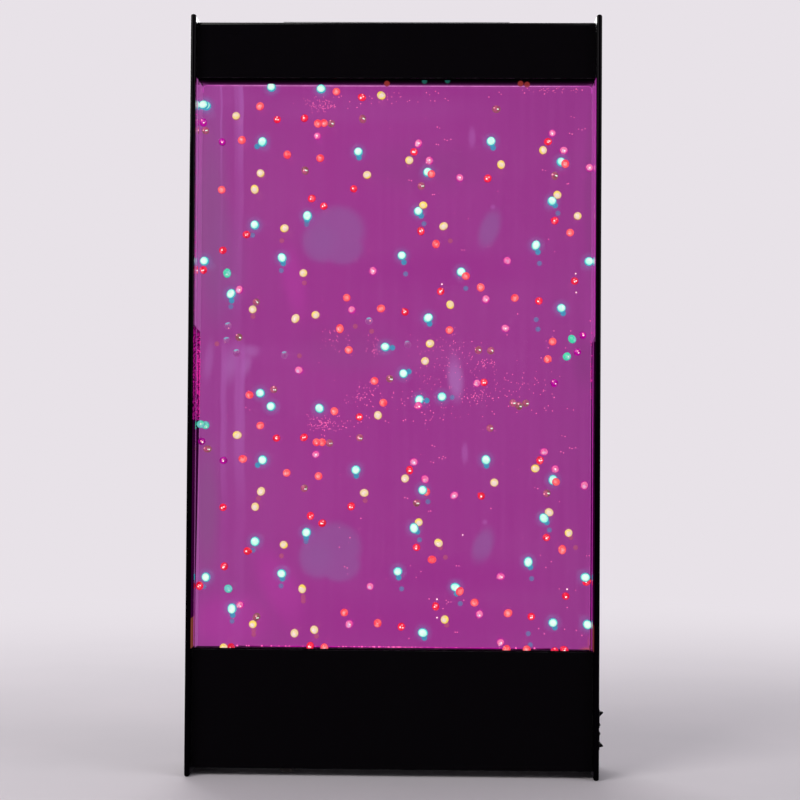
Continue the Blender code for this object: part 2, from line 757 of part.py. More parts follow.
def make_filler_plug():
    stem = FILLER_RADIUS - FIT_GAP
    head = FILLER_RADIUS + PLUG_HEAD_MARGIN
    knob = PLUG_HEAD_HEIGHT + PLUG_KNOB_HEIGHT
    profile = (
        (0, knob),
        (PLUG_KNOB_RADIUS - EASE, knob),
        (PLUG_KNOB_RADIUS, knob - EASE),
        (PLUG_KNOB_RADIUS, knob - PLUG_KNOB_HEIGHT / 2),
        (PLUG_NECK_RADIUS, PLUG_HEAD_HEIGHT),
        (head - EASE, PLUG_HEAD_HEIGHT),
        (head, PLUG_HEAD_HEIGHT - EASE),
        (head, 0),
        (stem, 0),
        (stem - PLUG_TAPER, -PLUG_STEM_DEPTH),
        (0, -PLUG_STEM_DEPTH),
    )
    seat_height = tank_high + FIT_GAP + TANK_LID_THICKNESS + FIT_GAP
    turned("filler_plug", profile, (FILLER_OFFSET, water_middle, seat_height), soft_rubber)


def make_tank_inlet():
    """The barbed fitting that carries air through the tank's floor."""
    flange_top = shelf_high
    flange_low = flange_top - INLET_FLANGE_HEIGHT
    tail_low = flange_low - INLET_TAIL_LENGTH
    profile = (
        (0, flange_top + INLET_STEM_RISE),
        (INLET_STEM_RADIUS, flange_top + INLET_STEM_RISE),
        (INLET_STEM_RADIUS, flange_top),
        (INLET_FLANGE_RADIUS, flange_top),
        (INLET_FLANGE_RADIUS, flange_low),
        (INLET_TAIL_RADIUS, flange_low),
        (INLET_TAIL_RADIUS, tail_low),
        (0, tail_low),
    )
    turned("tank_inlet", profile, (tank_inlet_x, water_middle, 0), nickel)


def make_light_sheets():
    low = (-inner_half, diffuser_front, diffuser_low)
    block("diffuser", low, (inner_half, diffuser_front + DIFFUSER_THICKNESS, diffuser_high), opal)
    guide_low = diffuser_low - FIT_GAP - CHANNEL_HEIGHT + guide_end_gap + FIT_GAP
    guide_high = diffuser_high + FIT_GAP + CHANNEL_HEIGHT - guide_end_gap - FIT_GAP
    low = (-inner_half, guide_front, guide_low)
    block("light_guide", low, (inner_half, guide_back, guide_high), clear_acrylic)
    low = (-inner_half, reflector_front, diffuser_low)
    block("reflector", low, (inner_half, reflector_front + REFLECTOR_THICKNESS, diffuser_high), white_film)


def make_led_rails():
    """A channel and a strip of lights for each end of the guide. The upper pair is upside down."""
    ends = (
        ("bottom", diffuser_low - FIT_GAP - CHANNEL_HEIGHT, 1),
        ("top", diffuser_high + FIT_GAP + CHANNEL_HEIGHT, -1),
    )
    for end, foot, up in ends:
        shelf = foot + up * CHANNEL_WALL
        rim = foot + up * CHANNEL_HEIGHT
        outline = (
            (channel_front, foot),
            (channel_back, foot),
            (channel_back, rim),
            (channel_back - CHANNEL_WALL, rim),
            (channel_back - CHANNEL_WALL, shelf),
            (channel_front + CHANNEL_WALL, shelf),
            (channel_front + CHANNEL_WALL, rim),
            (channel_front, rim),
        )
        extruded(f"led_channel_{end}", outline, 2 * inner_half, aluminium)
        make_led_strip(f"led_strip_{end}", shelf + up * FIT_GAP, up)


def make_led_strip(name, foot, up):
    half = inner_half - STRIP_END_MARGIN
    levels = sorted((foot, foot + up * STRIP_THICKNESS))
    strip = block(name, (-half, guide_front, levels[0]), (half, guide_back, levels[1]), board_white)
    lamp_foot = foot + up * (STRIP_THICKNESS - LED_SUNK)
    lamp_levels = sorted((lamp_foot, lamp_foot + up * LED_HEIGHT))
    lamp_middle = (guide_front + guide_back) / 2
    count = int((2 * half - LED_SIDE) / LED_PITCH)
    lamps = []
    for x in spread(count, LED_PITCH):
        low = (x - LED_SIDE / 2, lamp_middle - LED_SIDE / 2, lamp_levels[0])
        high = (x + LED_SIDE / 2, lamp_middle + LED_SIDE / 2, lamp_levels[1])
        lamps.append((low, high))
    join(strip, name + "_lamps", blocks_mesh(name + "_lamps", lamps))


def make_pump():
    right = pump_left + PUMP_LENGTH
    front = pump_middle - PUMP_DEPTH / 2
    back = pump_middle + PUMP_DEPTH / 2
    pad_low_corner = (pump_left + PAD_MARGIN, front + PAD_MARGIN, pad_low)
    block("pump_pad", pad_low_corner, (right - PAD_MARGIN, back - PAD_MARGIN, pad_low + PAD_HEIGHT), foam)
    body_high = pump_low + PUMP_BODY_HEIGHT
    body = block("pump_body", (pump_left, front, pump_low), (right, back, body_high), grey_plastic)
    round_edges(body, PUMP_ROUND, PUMP_ROUND_STEPS)
    spout_length = SPOUT_LENGTH + PUMP_ROUND
    spout_centre = (pump_left - SPOUT_LENGTH + spout_length / 2, pump_middle, spout_height)
    turn = Matrix.Rotation(math.pi / 2, 4, "Y")
    join(body, "pump_spout", rods_mesh("pump_spout", [(spout_centre, SPOUT_RADIUS, spout_length)], turn))
    cover_foot = body_high + FIT_GAP
    cover_low_corner = (pump_left, front, cover_foot)
    cover = block("pump_cover", cover_low_corner, (right, back, cover_foot + PUMP_COVER_HEIGHT), grey_plastic)
    round_edges(cover, PUMP_ROUND, PUMP_ROUND_STEPS)


def make_air_line():
    spout_end = pump_left - SPOUT_LENGTH
    valve_right = spout_end - VALVE_GAP
    valve_left = valve_right - VALVE_LENGTH
    half_body = VALVE_BODY_LENGTH / 2
    profile = (
        (0, VALVE_LENGTH / 2),
        (VALVE_STEM_RADIUS, VALVE_LENGTH / 2),
        (VALVE_STEM_RADIUS, half_body),
        (VALVE_RADIUS, half_body - EASE),
        (VALVE_RADIUS, EASE - half_body),
        (VALVE_STEM_RADIUS, -half_body),
        (VALVE_STEM_RADIUS, -VALVE_LENGTH / 2),
        (0, -VALVE_LENGTH / 2),
    )
    centre = ((valve_left + valve_right) / 2, pump_middle, spout_height)
    turned("check_valve", profile, centre, clear_plastic, (0, math.pi / 2, 0))
    ends = (spout_end - FIT_GAP, (spout_end + valve_right) / 2, valve_right + FIT_GAP)
    tube("pump_hose", [(x, pump_middle, spout_height) for x in ends], HOSE_RADIUS, clear_silicone)
    make_riser_hose(valve_left - FIT_GAP)


def make_riser_hose(start):
    foot = shelf_high - INLET_FLANGE_HEIGHT - INLET_TAIL_LENGTH - FIT_GAP
    run = start - tank_inlet_x
    rise = foot - spout_height
    knots = (
        (start, pump_middle, spout_height),
        (start - 0.12 * run, pump_middle, spout_height),
        (start - 0.48 * run, pump_middle, spout_height + 0.08 * rise),
        (start - 0.82 * run, pump_middle, spout_height + 0.32 * rise),
        (tank_inlet_x, pump_middle, spout_height + 0.66 * rise),
        (tank_inlet_x, pump_middle, foot - 0.12 * rise),
        (tank_inlet_x, pump_middle, foot),
    )
    tube("riser_hose", knots, HOSE_RADIUS, clear_silicone)


def make_power_socket():
    """A round socket that points down through the base plate. The lead plugs into it from below."""
    flange_top = cover_low - FIT_GAP
    mouth = flange_top - SOCKET_FLANGE_HEIGHT
    top = base_high + SOCKET_BARREL_HEIGHT
    profile = (
        (0, top),
        (SOCKET_BARREL_RADIUS, top),
        (SOCKET_BARREL_RADIUS, flange_top),
        (SOCKET_FLANGE_RADIUS, flange_top),
        (SOCKET_FLANGE_RADIUS, mouth),
        (SOCKET_BORE_RADIUS, mouth),
        (SOCKET_BORE_RADIUS, mouth + SOCKET_BORE_DEPTH),
        (0, mouth + SOCKET_BORE_DEPTH),
    )
    turned("power_socket", profile, (socket_x, SOCKET_RECESS, 0), nickel)


def board_spot(share):
    """A place on the board's face, from shares of its half sizes."""
    half_width = TRAY_WIDTH / 2 - BOARD_INSET
    half_height = TRAY_HEIGHT / 2 - BOARD_INSET
    return tray_x + share[0] * half_width, tray_z + share[1] * half_height


def board_front():
    return back_front - FIT_GAP - TRAY_THICKNESS - POST_LENGTH - FIT_GAP - BOARD_THICKNESS


def make_control_board():
    tray_back = back_front - FIT_GAP
    tray_front = tray_back - TRAY_THICKNESS
    low = (tray_x - TRAY_WIDTH / 2, tray_front, tray_z - TRAY_HEIGHT / 2)
    high = (tray_x + TRAY_WIDTH / 2, tray_back, tray_z + TRAY_HEIGHT / 2)
    tray = block("board_tray", low, high, grey_plastic)
    post_length = POST_LENGTH + TRAY_THICKNESS / 2
    posts = []
    for side in (-1, 1):
        for up in (-1, 1):
            x = tray_x + side * (TRAY_WIDTH / 2 - POST_INSET)
            z = tray_z + up * (TRAY_HEIGHT / 2 - POST_INSET)
            posts.append(((x, tray_front - POST_LENGTH + post_length / 2, z), POST_RADIUS, post_length))
    turn = Matrix.Rotation(math.pi / 2, 4, "X")
    join(tray, "tray_posts", rods_mesh("tray_posts", posts, turn, steps=ROUND_STEPS // 2))
    make_board(board_front())


def standing(share, size, front):
    """The corners of a component that stands on the board's front face."""
    x, z = board_spot(share)
    low = (x - size[0] / 2, front - size[1], z - size[2] / 2)
    return low, (x + size[0] / 2, front + PART_SUNK, z + size[2] / 2)


def make_board(front):
    low = (tray_x - TRAY_WIDTH / 2 + BOARD_INSET, front, tray_z - TRAY_HEIGHT / 2 + BOARD_INSET)
    high_x = tray_x + TRAY_WIDTH / 2 - BOARD_INSET
    high_z = tray_z + TRAY_HEIGHT / 2 - BOARD_INSET
    board = block("control_board", low, (high_x, front + BOARD_THICKNESS, high_z), board_green)
    components = [standing(share, TERMINAL_SIZE, front) for share in TERMINAL_SHARES]
    components.append(standing(TRANSFORMER_SHARES, TRANSFORMER_SIZE, front))
    components.append(standing(CHIP_SHARES, CHIP_SIZE, front))
    join(board, "board_parts", blocks_mesh("board_parts", components))
    cans = []
    for share in CAPACITOR_SHARES:
        x, z = board_spot(share)
        centre = (x, front + PART_SUNK - CAPACITOR_LENGTH / 2, z)
        cans.append((centre, CAPACITOR_RADIUS, CAPACITOR_LENGTH))
    turn = Matrix.Rotation(math.pi / 2, 4, "X")
    join(board, "board_cans", rods_mesh("board_cans", cans, turn, steps=ROUND_STEPS // 2))


def make_leads():
    """The wiring that stays inside the housing."""
    terminal_y = board_front() - TERMINAL_SIZE[1] / 2
    half_x = TERMINAL_SIZE[0] / 2 + FIT_GAP
    make_inlet_lead(terminal_y, half_x)
    make_pump_lead(terminal_y, half_x)
    make_light_lead(terminal_y)
    make_switch_lead(terminal_y, half_x)


def make_inlet_lead(terminal_y, half_x):
    x, z = board_spot(TERMINAL_SHARES[0])
    end = x - half_x
    socket_top = base_high + SOCKET_BARREL_HEIGHT + FIT_GAP
    over_pump = pump_low + PUMP_BODY_HEIGHT + FIT_GAP + PUMP_COVER_HEIGHT + 4 * LEAD_RADIUS
    pump_right = pump_left + PUMP_LENGTH
    run = end - pump_right
    knots = (
        (socket_x, SOCKET_RECESS, socket_top),
        (socket_x, SOCKET_RECESS, socket_top + 4 * LEAD_RADIUS),
        (socket_x + 3 * LEAD_RADIUS, SOCKET_RECESS, over_pump - 5 * LEAD_RADIUS),
        (pump_left + PAD_MARGIN, SOCKET_RECESS, over_pump),
        (pump_left + PUMP_LENGTH / 2, pump_middle - PUMP_DEPTH / 4, over_pump),
        (pump_right, pump_middle, over_pump),
        (pump_right + 0.4 * run, terminal_y, (over_pump + z) / 2),
        (pump_right + 0.7 * run, terminal_y, z),
        (pump_right + 0.9 * run, terminal_y, z),
        (end, terminal_y, z),
    )
    tube("inlet_lead", knots, LEAD_RADIUS, black_rubber)


def make_pump_lead(terminal_y, half_x):
    x, z = board_spot(TERMINAL_SHARES[3])
    end = x - half_x
    start = pump_left + PUMP_LENGTH + FIT_GAP
    level = pump_low + PUMP_BODY_HEIGHT / 2
    run = end - start
    knots = (
        (start, pump_middle, level),
        (start + 0.2 * run, pump_middle, level),
        (start + 0.5 * run, (pump_middle + terminal_y) / 2, (level + z) / 2),
        (start + 0.8 * run, terminal_y, z),
        (end, terminal_y, z),
    )
    tube("pump_lead", knots, LEAD_RADIUS / 2, black_rubber)


def make_light_lead(terminal_y):
    x, z = board_spot(TERMINAL_SHARES[1])
    foot = z + TERMINAL_SIZE[2] / 2 + FIT_GAP
    channel_foot = diffuser_low - FIT_GAP - CHANNEL_HEIGHT - FIT_GAP
    channel_middle = (channel_front + channel_back) / 2
    rise = channel_foot - foot
    knots = (
        (x, terminal_y, foot),
        (x, terminal_y, foot + 0.2 * rise),
        (x, (terminal_y + channel_middle) / 2, foot + 0.5 * rise),
        (x, channel_middle, channel_foot - 0.2 * rise),
        (x, channel_middle, channel_foot),
    )
    tube("light_lead", knots, LEAD_RADIUS, black_rubber)


def make_switch_lead(terminal_y, half_x):
    x, z = board_spot(TERMINAL_SHARES[2])
    start = x + half_x
    stop = PANEL_WIDTH / 2 + FIT_GAP - SWITCH_BODY_DEPTH - BLADE_LENGTH - FIT_GAP
    run = stop - start
    level = switch_heights()[1] + BLADE_SPACING / 2
    knots = (
        (start, terminal_y, z),
        (start + 0.15 * run, terminal_y, z),
        (start + 0.35 * run, terminal_y, z),
        (start + 0.5 * run, (terminal_y + SWITCH_RECESS) / 2, (z + level) / 2),
        (start + 0.7 * run, SWITCH_RECESS, level),
        (stop, SWITCH_RECESS, level),
    )
    tube("switch_lead", knots, LEAD_RADIUS / 2, black_rubber)


def switch_box(inner, outer, width, length, height):
    """Corners of a box on the switch's axis, from one x to another."""
    low = (inner, SWITCH_RECESS - width / 2, height - length / 2)
    return low, (outer, SWITCH_RECESS + width / 2, height + length / 2)


def make_switch(name, height):
    """The housing: a bezel outside the cheek, a body inside it, a well for the rocker and two blades."""
    outside = PANEL_WIDTH / 2 + FIT_GAP
    bezel = switch_box(outside, bezel_face, BEZEL_WIDTH, BEZEL_LENGTH, height)
    housing = block(name, *bezel, black_satin, EASE)
    inside = outside - SWITCH_BODY_DEPTH
    body_end = outside + BEZEL_STAND / 2
    body = switch_box(inside, body_end, SWITCH_BODY_WIDTH, SWITCH_BODY_LENGTH, height)
    join(housing, name + "_body", blocks_mesh(name + "_body", [body]))
    blades = []
    for offset in spread(2, BLADE_SPACING):
        blade_end = inside + BLADE_THICKNESS
        place = height + offset
        blades.append(switch_box(inside - BLADE_LENGTH, blade_end, BLADE_WIDTH, BLADE_THICKNESS, place))
    join(housing, name + "_blades", blocks_mesh(name + "_blades", blades))
    well = switch_box(bezel_face - WELL_DEPTH, bezel_face + CUT_OVERRUN, WELL_WIDTH, WELL_LENGTH, height)
    cut(housing, name + "_well", blocks_mesh(name + "_well", [well]))


def rocker_outline():
    """The rocker's side view about its axle: along the switch, then out of it."""
    half = ROCKER_LENGTH / 2
    inner = half - ROCKER_TIP_FLAT
    outline = [(half, ROCKER_TIP_RISE)]
    for step in range(ROCKER_DIP_STEPS + 1):
        along = inner * (1 - 2 * step / ROCKER_DIP_STEPS)
        outline.append((along, ROCKER_TIP_RISE - ROCKER_DIP * math.cos(along / inner * math.pi / 2)))
    outline.append((-half, ROCKER_TIP_RISE))
    outline.append((-half, -ROCKER_SKIRT))
    outline.append((-inner / 2, -ROCKER_KEEL))
    outline.append((inner / 2, -ROCKER_KEEL))
    outline.append((half, -ROCKER_SKIRT))
    return outline


def make_rocker(name, height, tilt):
    """The object's origin is on the axle, which runs from front to back."""
    curve = bpy.data.curves.new(name, "CURVE")
    curve.dimensions = "2D"
    curve.fill_mode = "BOTH"
    curve.extrude = ROCKER_WIDTH / 2
    spline = curve.splines.new("POLY")
    outline = rocker_outline()
    spline.points.add(len(outline) - 1)
    for point, (along, out) in zip(spline.points, outline):
        point.co = (out, along, 0, 1)
    spline.use_cyclic_u = True
    rocker = seat(bpy.data.objects.new(name, curve), (rocker_axis_x, SWITCH_RECESS, height), black_gloss)
    rocker.rotation_euler = (math.pi / 2, tilt, 0)


def make_switches():
    upper, lower = switch_heights()
    make_switch("pump_switch", upper)
    make_switch("light_switch", lower)
    make_rocker("pump_rocker", upper, ROCKER_TILT)
    make_rocker("light_rocker", lower, -ROCKER_TILT)


def make_beads():
    counts = {}
    for colour, across, up, back in BEAD_SHARES:
        counts[colour] = counts.get(colour, 0) + 1
        name = f"bead_{colour}_{counts[colour]}"
        shape = bmesh.new()
        bmesh.ops.create_uvsphere(shape, u_segments=BEAD_SEGMENTS, v_segments=BEAD_RINGS, radius=BEAD_RADIUS)
        mesh = bpy.data.meshes.new(name)
        shape.to_mesh(mesh)
        shape.free()
        mesh.shade_smooth()
        x = inner_half * (2 * across - 1)
        y = water_front + back * WATER_DEPTH
        z = bar_high + up * (crown_low - bar_high)
        seat(bpy.data.objects.new(name, mesh), (x, y, z), bead_finishes[colour])


clear_scene()
parts = collection("luminous_bead_panel")
cutters = collection("luminous_bead_panel_cutters")
panel = bpy.data.objects.new("panel_frame", None)
parts.objects.link(panel)
panel.location = (-stand_out / 2, -panel_depth / 2, 0)

black_gloss = finish("black_gloss", (0.006, 0.006, 0.007), 0.12)
black_satin = finish("black_satin", (0.012, 0.012, 0.013), 0.45)
clear_acrylic = finish("clear_acrylic", (0.92, 0.94, 0.96), 0.03)
clear_plastic = finish("clear_plastic", (0.80, 0.84, 0.88), 0.20)
clear_silicone = finish("clear_silicone", (0.78, 0.80, 0.80), 0.35)
opal = finish("opal", (0.62, 0.20, 0.55), 0.35)
white_film = finish("white_film", (0.85, 0.85, 0.85), 0.50)
board_white = finish("board_white", (0.80, 0.80, 0.78), 0.45)
board_green = finish("board_green", (0.03, 0.16, 0.07), 0.40)
grey_plastic = finish("grey_plastic", (0.12, 0.12, 0.13), 0.50)
foam = finish("foam", (0.05, 0.05, 0.05), 0.95)
soft_rubber = finish("soft_rubber", (0.03, 0.03, 0.03), 0.70)
black_rubber = finish("black_rubber", (0.02, 0.02, 0.02), 0.55)
aluminium = finish("aluminium", (0.70, 0.71, 0.73), 0.35, 1.0)
zinc = finish("zinc", (0.62, 0.62, 0.60), 0.30, 1.0)
nickel = finish("nickel", (0.66, 0.64, 0.60), 0.22, 1.0)
bead_finishes = {
    "mint": finish("bead_mint", (0.45, 0.95, 0.85), 0.10),
    "cream": finish("bead_cream", (0.90, 0.72, 0.42), 0.10),
    "coral": finish("bead_coral", (0.95, 0.16, 0.14), 0.10),
    "magenta": finish("bead_magenta", (0.55, 0.01, 0.32), 0.10),
}

make_cheeks()
make_covers()
make_top_plate()
make_service_lid()
make_base_plate()
make_screw_blocks()
make_base_screws()
make_back_panel()
make_hanger_rail()
make_hanger_screws()
make_wall_bracket()
make_tank()
make_bubble_bar()
make_tank_lid()
make_filler_plug()
make_tank_inlet()
make_light_sheets()
make_led_rails()
make_pump()
make_air_line()
make_power_socket()
make_control_board()
make_leads()
make_switches()
make_beads()
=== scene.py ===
import math

import bmesh
import bpy
from mathutils import Matrix, Vector
from mathutils.bvhtree import BVHTree


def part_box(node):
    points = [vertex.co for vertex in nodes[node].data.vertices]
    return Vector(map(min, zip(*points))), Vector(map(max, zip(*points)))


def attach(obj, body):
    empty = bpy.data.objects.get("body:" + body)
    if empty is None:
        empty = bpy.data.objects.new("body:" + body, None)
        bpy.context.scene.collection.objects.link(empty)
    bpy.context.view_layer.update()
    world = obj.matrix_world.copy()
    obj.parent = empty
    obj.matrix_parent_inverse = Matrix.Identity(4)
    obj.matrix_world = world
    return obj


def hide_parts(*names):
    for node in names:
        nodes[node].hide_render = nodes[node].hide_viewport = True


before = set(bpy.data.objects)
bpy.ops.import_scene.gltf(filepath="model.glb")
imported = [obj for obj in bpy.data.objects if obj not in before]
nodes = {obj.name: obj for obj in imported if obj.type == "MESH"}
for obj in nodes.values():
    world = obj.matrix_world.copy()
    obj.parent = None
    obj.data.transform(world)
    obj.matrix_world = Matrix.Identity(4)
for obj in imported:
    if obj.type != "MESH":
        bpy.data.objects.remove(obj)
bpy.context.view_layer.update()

print("frame:", len(nodes), "solids")


# small helpers for trees, colours and meshes

def tone(red, green, blue, alpha=1.0):
    # a screen colour, 0 to 255, as the linear values that a socket takes
    def linear(value):
        value = value / 255
        return value / 12.92 if value <= 0.04045 else ((value + 0.055) / 1.055) ** 2.4
    return (linear(red), linear(green), linear(blue), alpha)


def mm(*values):
    return Vector([value / 1000 for value in values])


# the panel's middle lies 3.2 mm left of the origin and its front 50 mm before it
panelMiddle, panelFront = 3.2, 50
leftWall, rightWall = -221.9, 215.4  # the insides of the cheeks, in mm


def inPanel(x, z, depth):
    # a place given in mm right of the panel's middle, above its foot and behind its front
    return mm(x - panelMiddle, depth - panelFront, z)


def titled(node):
    return node.replace("_", " ").title().replace(" ", "")


def boxOf(node):
    low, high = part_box(node)
    return low, high, (low + high) / 2


def addNode(tree, kind, sockets=None, **settings):
    node = tree.nodes.new(kind)
    for key, value in settings.items():
        setattr(node, key, value)
    for key, value in (sockets or {}).items():
        if isinstance(value, bpy.types.NodeSocket):
            tree.links.new(value, node.inputs[key])
        else:
            node.inputs[key].default_value = value
    return node


def sums(tree, operation, *values):
    return addNode(tree, "ShaderNodeMath", dict(enumerate(values)), operation=operation).outputs[0]


def vectorSums(tree, operation, *values):
    return addNode(tree, "ShaderNodeVectorMath", dict(enumerate(values)), operation=operation)


def blended(tree, factor, first, second, way="MIX"):
    sockets = {0: factor, 6: first, 7: second}
    return addNode(tree, "ShaderNodeMix", sockets, data_type="RGBA", blend_type=way).outputs[2]


def ranged(tree, value, low, high, newLow=0.0, newHigh=1.0, smooth=False):
    sockets = {0: value, 1: low, 2: high, 3: newLow, 4: newHigh}
    kind = "SMOOTHSTEP" if smooth else "LINEAR"
    return addNode(tree, "ShaderNodeMapRange", sockets, interpolation_type=kind).outputs[0]


def ramped(tree, factor, stops):
    node = addNode(tree, "ShaderNodeValToRGB", {0: factor})
    ramp = node.color_ramp
    while len(ramp.elements) < len(stops):
        ramp.elements.new(0.5)
    for element, (place, colour) in zip(ramp.elements, stops):
        element.position = place
        element.color = colour
    return node.outputs[0]


def noisy(tree, vector, scale, detail=2.0, rough=0.5, stretch=None, turn=None):
    if stretch or turn:
        mapping = {"Vector": vector, "Scale": stretch or (1, 1, 1)}
        if turn:
            mapping["Rotation"] = turn
        vector = addNode(tree, "ShaderNodeMapping", mapping).outputs[0]
    sockets = {"Vector": vector, "Scale": scale, "Detail": detail, "Roughness": rough}
    return addNode(tree, "ShaderNodeTexNoise", sockets).outputs[0]


def shaderGroup(name, inputs, outputs):
    tree = bpy.data.node_groups.new(name, "ShaderNodeTree")
    for label, kind, start in inputs:
        tree.interface.new_socket(name=label, in_out="INPUT", socket_type=kind).default_value = start
    for label, kind in outputs:
        tree.interface.new_socket(name=label, in_out="OUTPUT", socket_type=kind)
    return tree, tree.nodes.new("NodeGroupInput").outputs, tree.nodes.new("NodeGroupOutput").inputs


def useGroup(tree, group, **sockets):
    node = tree.nodes.new("ShaderNodeGroup")
    node.node_tree = group
    for key, value in sockets.items():
        key = key[0].upper() + key[1:]
        if isinstance(value, bpy.types.NodeSocket):
            tree.links.new(value, node.inputs[key])
        else:
            node.inputs[key].default_value = value
    return node.outputs


shaderSockets = {
    "baseColor": "Base Color", "metallic": "Metallic", "roughness": "Roughness", "alpha": "Alpha",
    "ior": "IOR", "specular": "Specular IOR Level", "transmission": "Transmission Weight",
    "coat": "Coat Weight", "coatRoughness": "Coat Roughness", "coatIor": "Coat IOR",
    "emission": "Emission Color", "glow": "Emission Strength", "edgeTint": "Specular Tint"}


def newMaterial(name, **settings):
    # settings are the all-over numbers, straight on the Principled sockets
    material = bpy.data.materials.new(name)
    material.use_nodes = True
    tree = material.node_tree
    shader = tree.nodes["Principled BSDF"]
    for key, value in settings.items():
        shader.inputs[shaderSockets[key]].default_value = value
    where = tree.nodes.new("ShaderNodeTexCoord").outputs["Object"]
    return material, tree, shader, where


def feed(tree, shader, **sockets):
    for key, value in sockets.items():
        tree.links.new(value, shader.inputs[shaderSockets[key]])


def bumped(tree, shader, height, strength, distance):
    bump = addNode(tree, "ShaderNodeBump",
                   {"Height": height, "Strength": strength, "Distance": distance})
    tree.links.new(bump.outputs[0], shader.inputs["Normal"])


def dress(material, *names):
    for name in names:
        for slot in nodes[name].material_slots:
            slot.material = material


def finishOf(name):
    return nodes[name].material_slots[0].material


def addPiece(name, mesh, material, body, slot, *replaced):
    piece = bpy.data.objects.new(name, mesh)
    bpy.context.scene.collection.objects.link(piece)
    mesh.materials.clear()
    mesh.materials.append(material)
    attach(piece, body)
    if replaced:
        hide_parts(*replaced)
    return piece


# what Geometry Nodes grow

def growTree(name, inputs):
    tree = bpy.data.node_groups.new(name, "GeometryNodeTree")
    tree.interface.new_socket(name="Geometry", in_out="INPUT", socket_type="NodeSocketGeometry")
    for label, kind, start in inputs:
        socket = tree.interface.new_socket(name=label, in_out="INPUT", socket_type=kind)
        if start is not None:
            socket.default_value = start
    tree.interface.new_socket(name="Geometry", in_out="OUTPUT", socket_type="NodeSocketGeometry")
    return tree, tree.nodes.new("NodeGroupInput").outputs


def randomValue(tree, kind, seed, low=None, high=None, **sockets):
    # a random value for each point: a vector or a number between two ends, or a yes or no
    ends = {"FLOAT_VECTOR": (0, 1), "FLOAT": (2, 3), "BOOLEAN": ()}[kind]
    sockets.update(zip(ends, (low, high)))
    node = addNode(tree, "FunctionNodeRandomValue", {**sockets, "Seed": seed}, data_type=kind)
    return node.outputs[{"FLOAT_VECTOR": 0, "FLOAT": 1, "BOOLEAN": 3}[kind]]


def strewnOn(tree, points, instance, **sockets):
    sockets = {"Points": points, "Instance": instance, **sockets}
    return addNode(tree, "GeometryNodeInstanceOnPoints", sockets).outputs[0]


def closeTree(tree, geometry, finish, smooth=True):
    solid = addNode(tree, "GeometryNodeRealizeInstances", {0: geometry}).outputs[0]
    if smooth:
        solid = addNode(tree, "GeometryNodeSetShadeSmooth", {0: solid}).outputs[0]
    painted = addNode(tree, "GeometryNodeSetMaterial", {0: solid, 2: finish}).outputs[0]
    tree.links.new(painted, tree.nodes.new("NodeGroupOutput").inputs[0])


def grown(tree, seedMesh, values):
    # sets a tree's inputs by identifier, and returns its result as one plain mesh
    seed = bpy.data.objects.new("seed", seedMesh)
    bpy.context.scene.collection.objects.link(seed)
    modifier = seed.modifiers.new("grow", "NODES")
    modifier.node_group = tree
    for item in tree.interface.items_tree:
        if item.item_type == "SOCKET" and item.in_out == "INPUT" and item.name in values:
            modifier[item.identifier] = values[item.name]
    bpy.context.view_layer.update()
    graph = bpy.context.evaluated_depsgraph_get()
    mesh = bpy.data.meshes.new_from_object(seed.evaluated_get(graph), depsgraph=graph)
    seed.modifiers.clear()
    bpy.data.objects.remove(seed)
    return mesh


def pointMesh(places):
    mesh = bpy.data.meshes.new("places")
    mesh.from_pydata([tuple(place) for place in places], [], [])
    return mesh


onePoint = pointMesh([(0, 0, 0)])


def pathMesh(places):
    mesh = bpy.data.meshes.new("path")
    mesh.from_pydata([tuple(place) for place in places],
                     [(n, n + 1) for n in range(len(places) - 1)], [])
    return mesh


def meshFrom(form, name):
    mesh = bpy.data.meshes.new(name)
    form.to_mesh(mesh)
    form.free()
    return mesh


def joined(meshes):
    form = bmesh.new()
    for mesh in meshes:
        form.from_mesh(mesh)
    whole = meshFrom(form, "joined")
    whole.shade_smooth()
    return whole


fullTurn = 6.28


def beadTree():
    # a slightly uneven bead at each point
    tree, given = growTree("strewnBeads", [
        ("Diameter", "NodeSocketFloat", 0.0094), ("Segments", "NodeSocketInt", 12),
        ("Rings", "NodeSocketInt", 8), ("Smallest", "NodeSocketFloat", 0.95),
        ("Longest", "NodeSocketFloat", 1.06), ("Seed", "NodeSocketInt", 1),
        ("Finish", "NodeSocketMaterial", None)])
    radius = sums(tree, "MULTIPLY", given["Diameter"], 0.5)
    ball = addNode(tree, "GeometryNodeMeshUVSphere", {
        "Segments": given["Segments"], "Rings": given["Rings"], "Radius": radius}).outputs[0]
    turn = randomValue(tree, "FLOAT_VECTOR", given["Seed"], (0, 0, 0), (fullTurn, fullTurn, fullTurn))
    least = addNode(tree, "ShaderNodeCombineXYZ",
                    {axis: given["Smallest"] for axis in range(3)}).outputs[0]
    most = addNode(tree, "ShaderNodeCombineXYZ", {0: given["Longest"], 1: 1.0, 2: 1.0}).outputs[0]
    size = randomValue(tree, "FLOAT_VECTOR", given["Seed"], least, most)
    closeTree(tree, strewnOn(tree, given["Geometry"], ball, Rotation=turn, Scale=size), given["Finish"])
    return tree


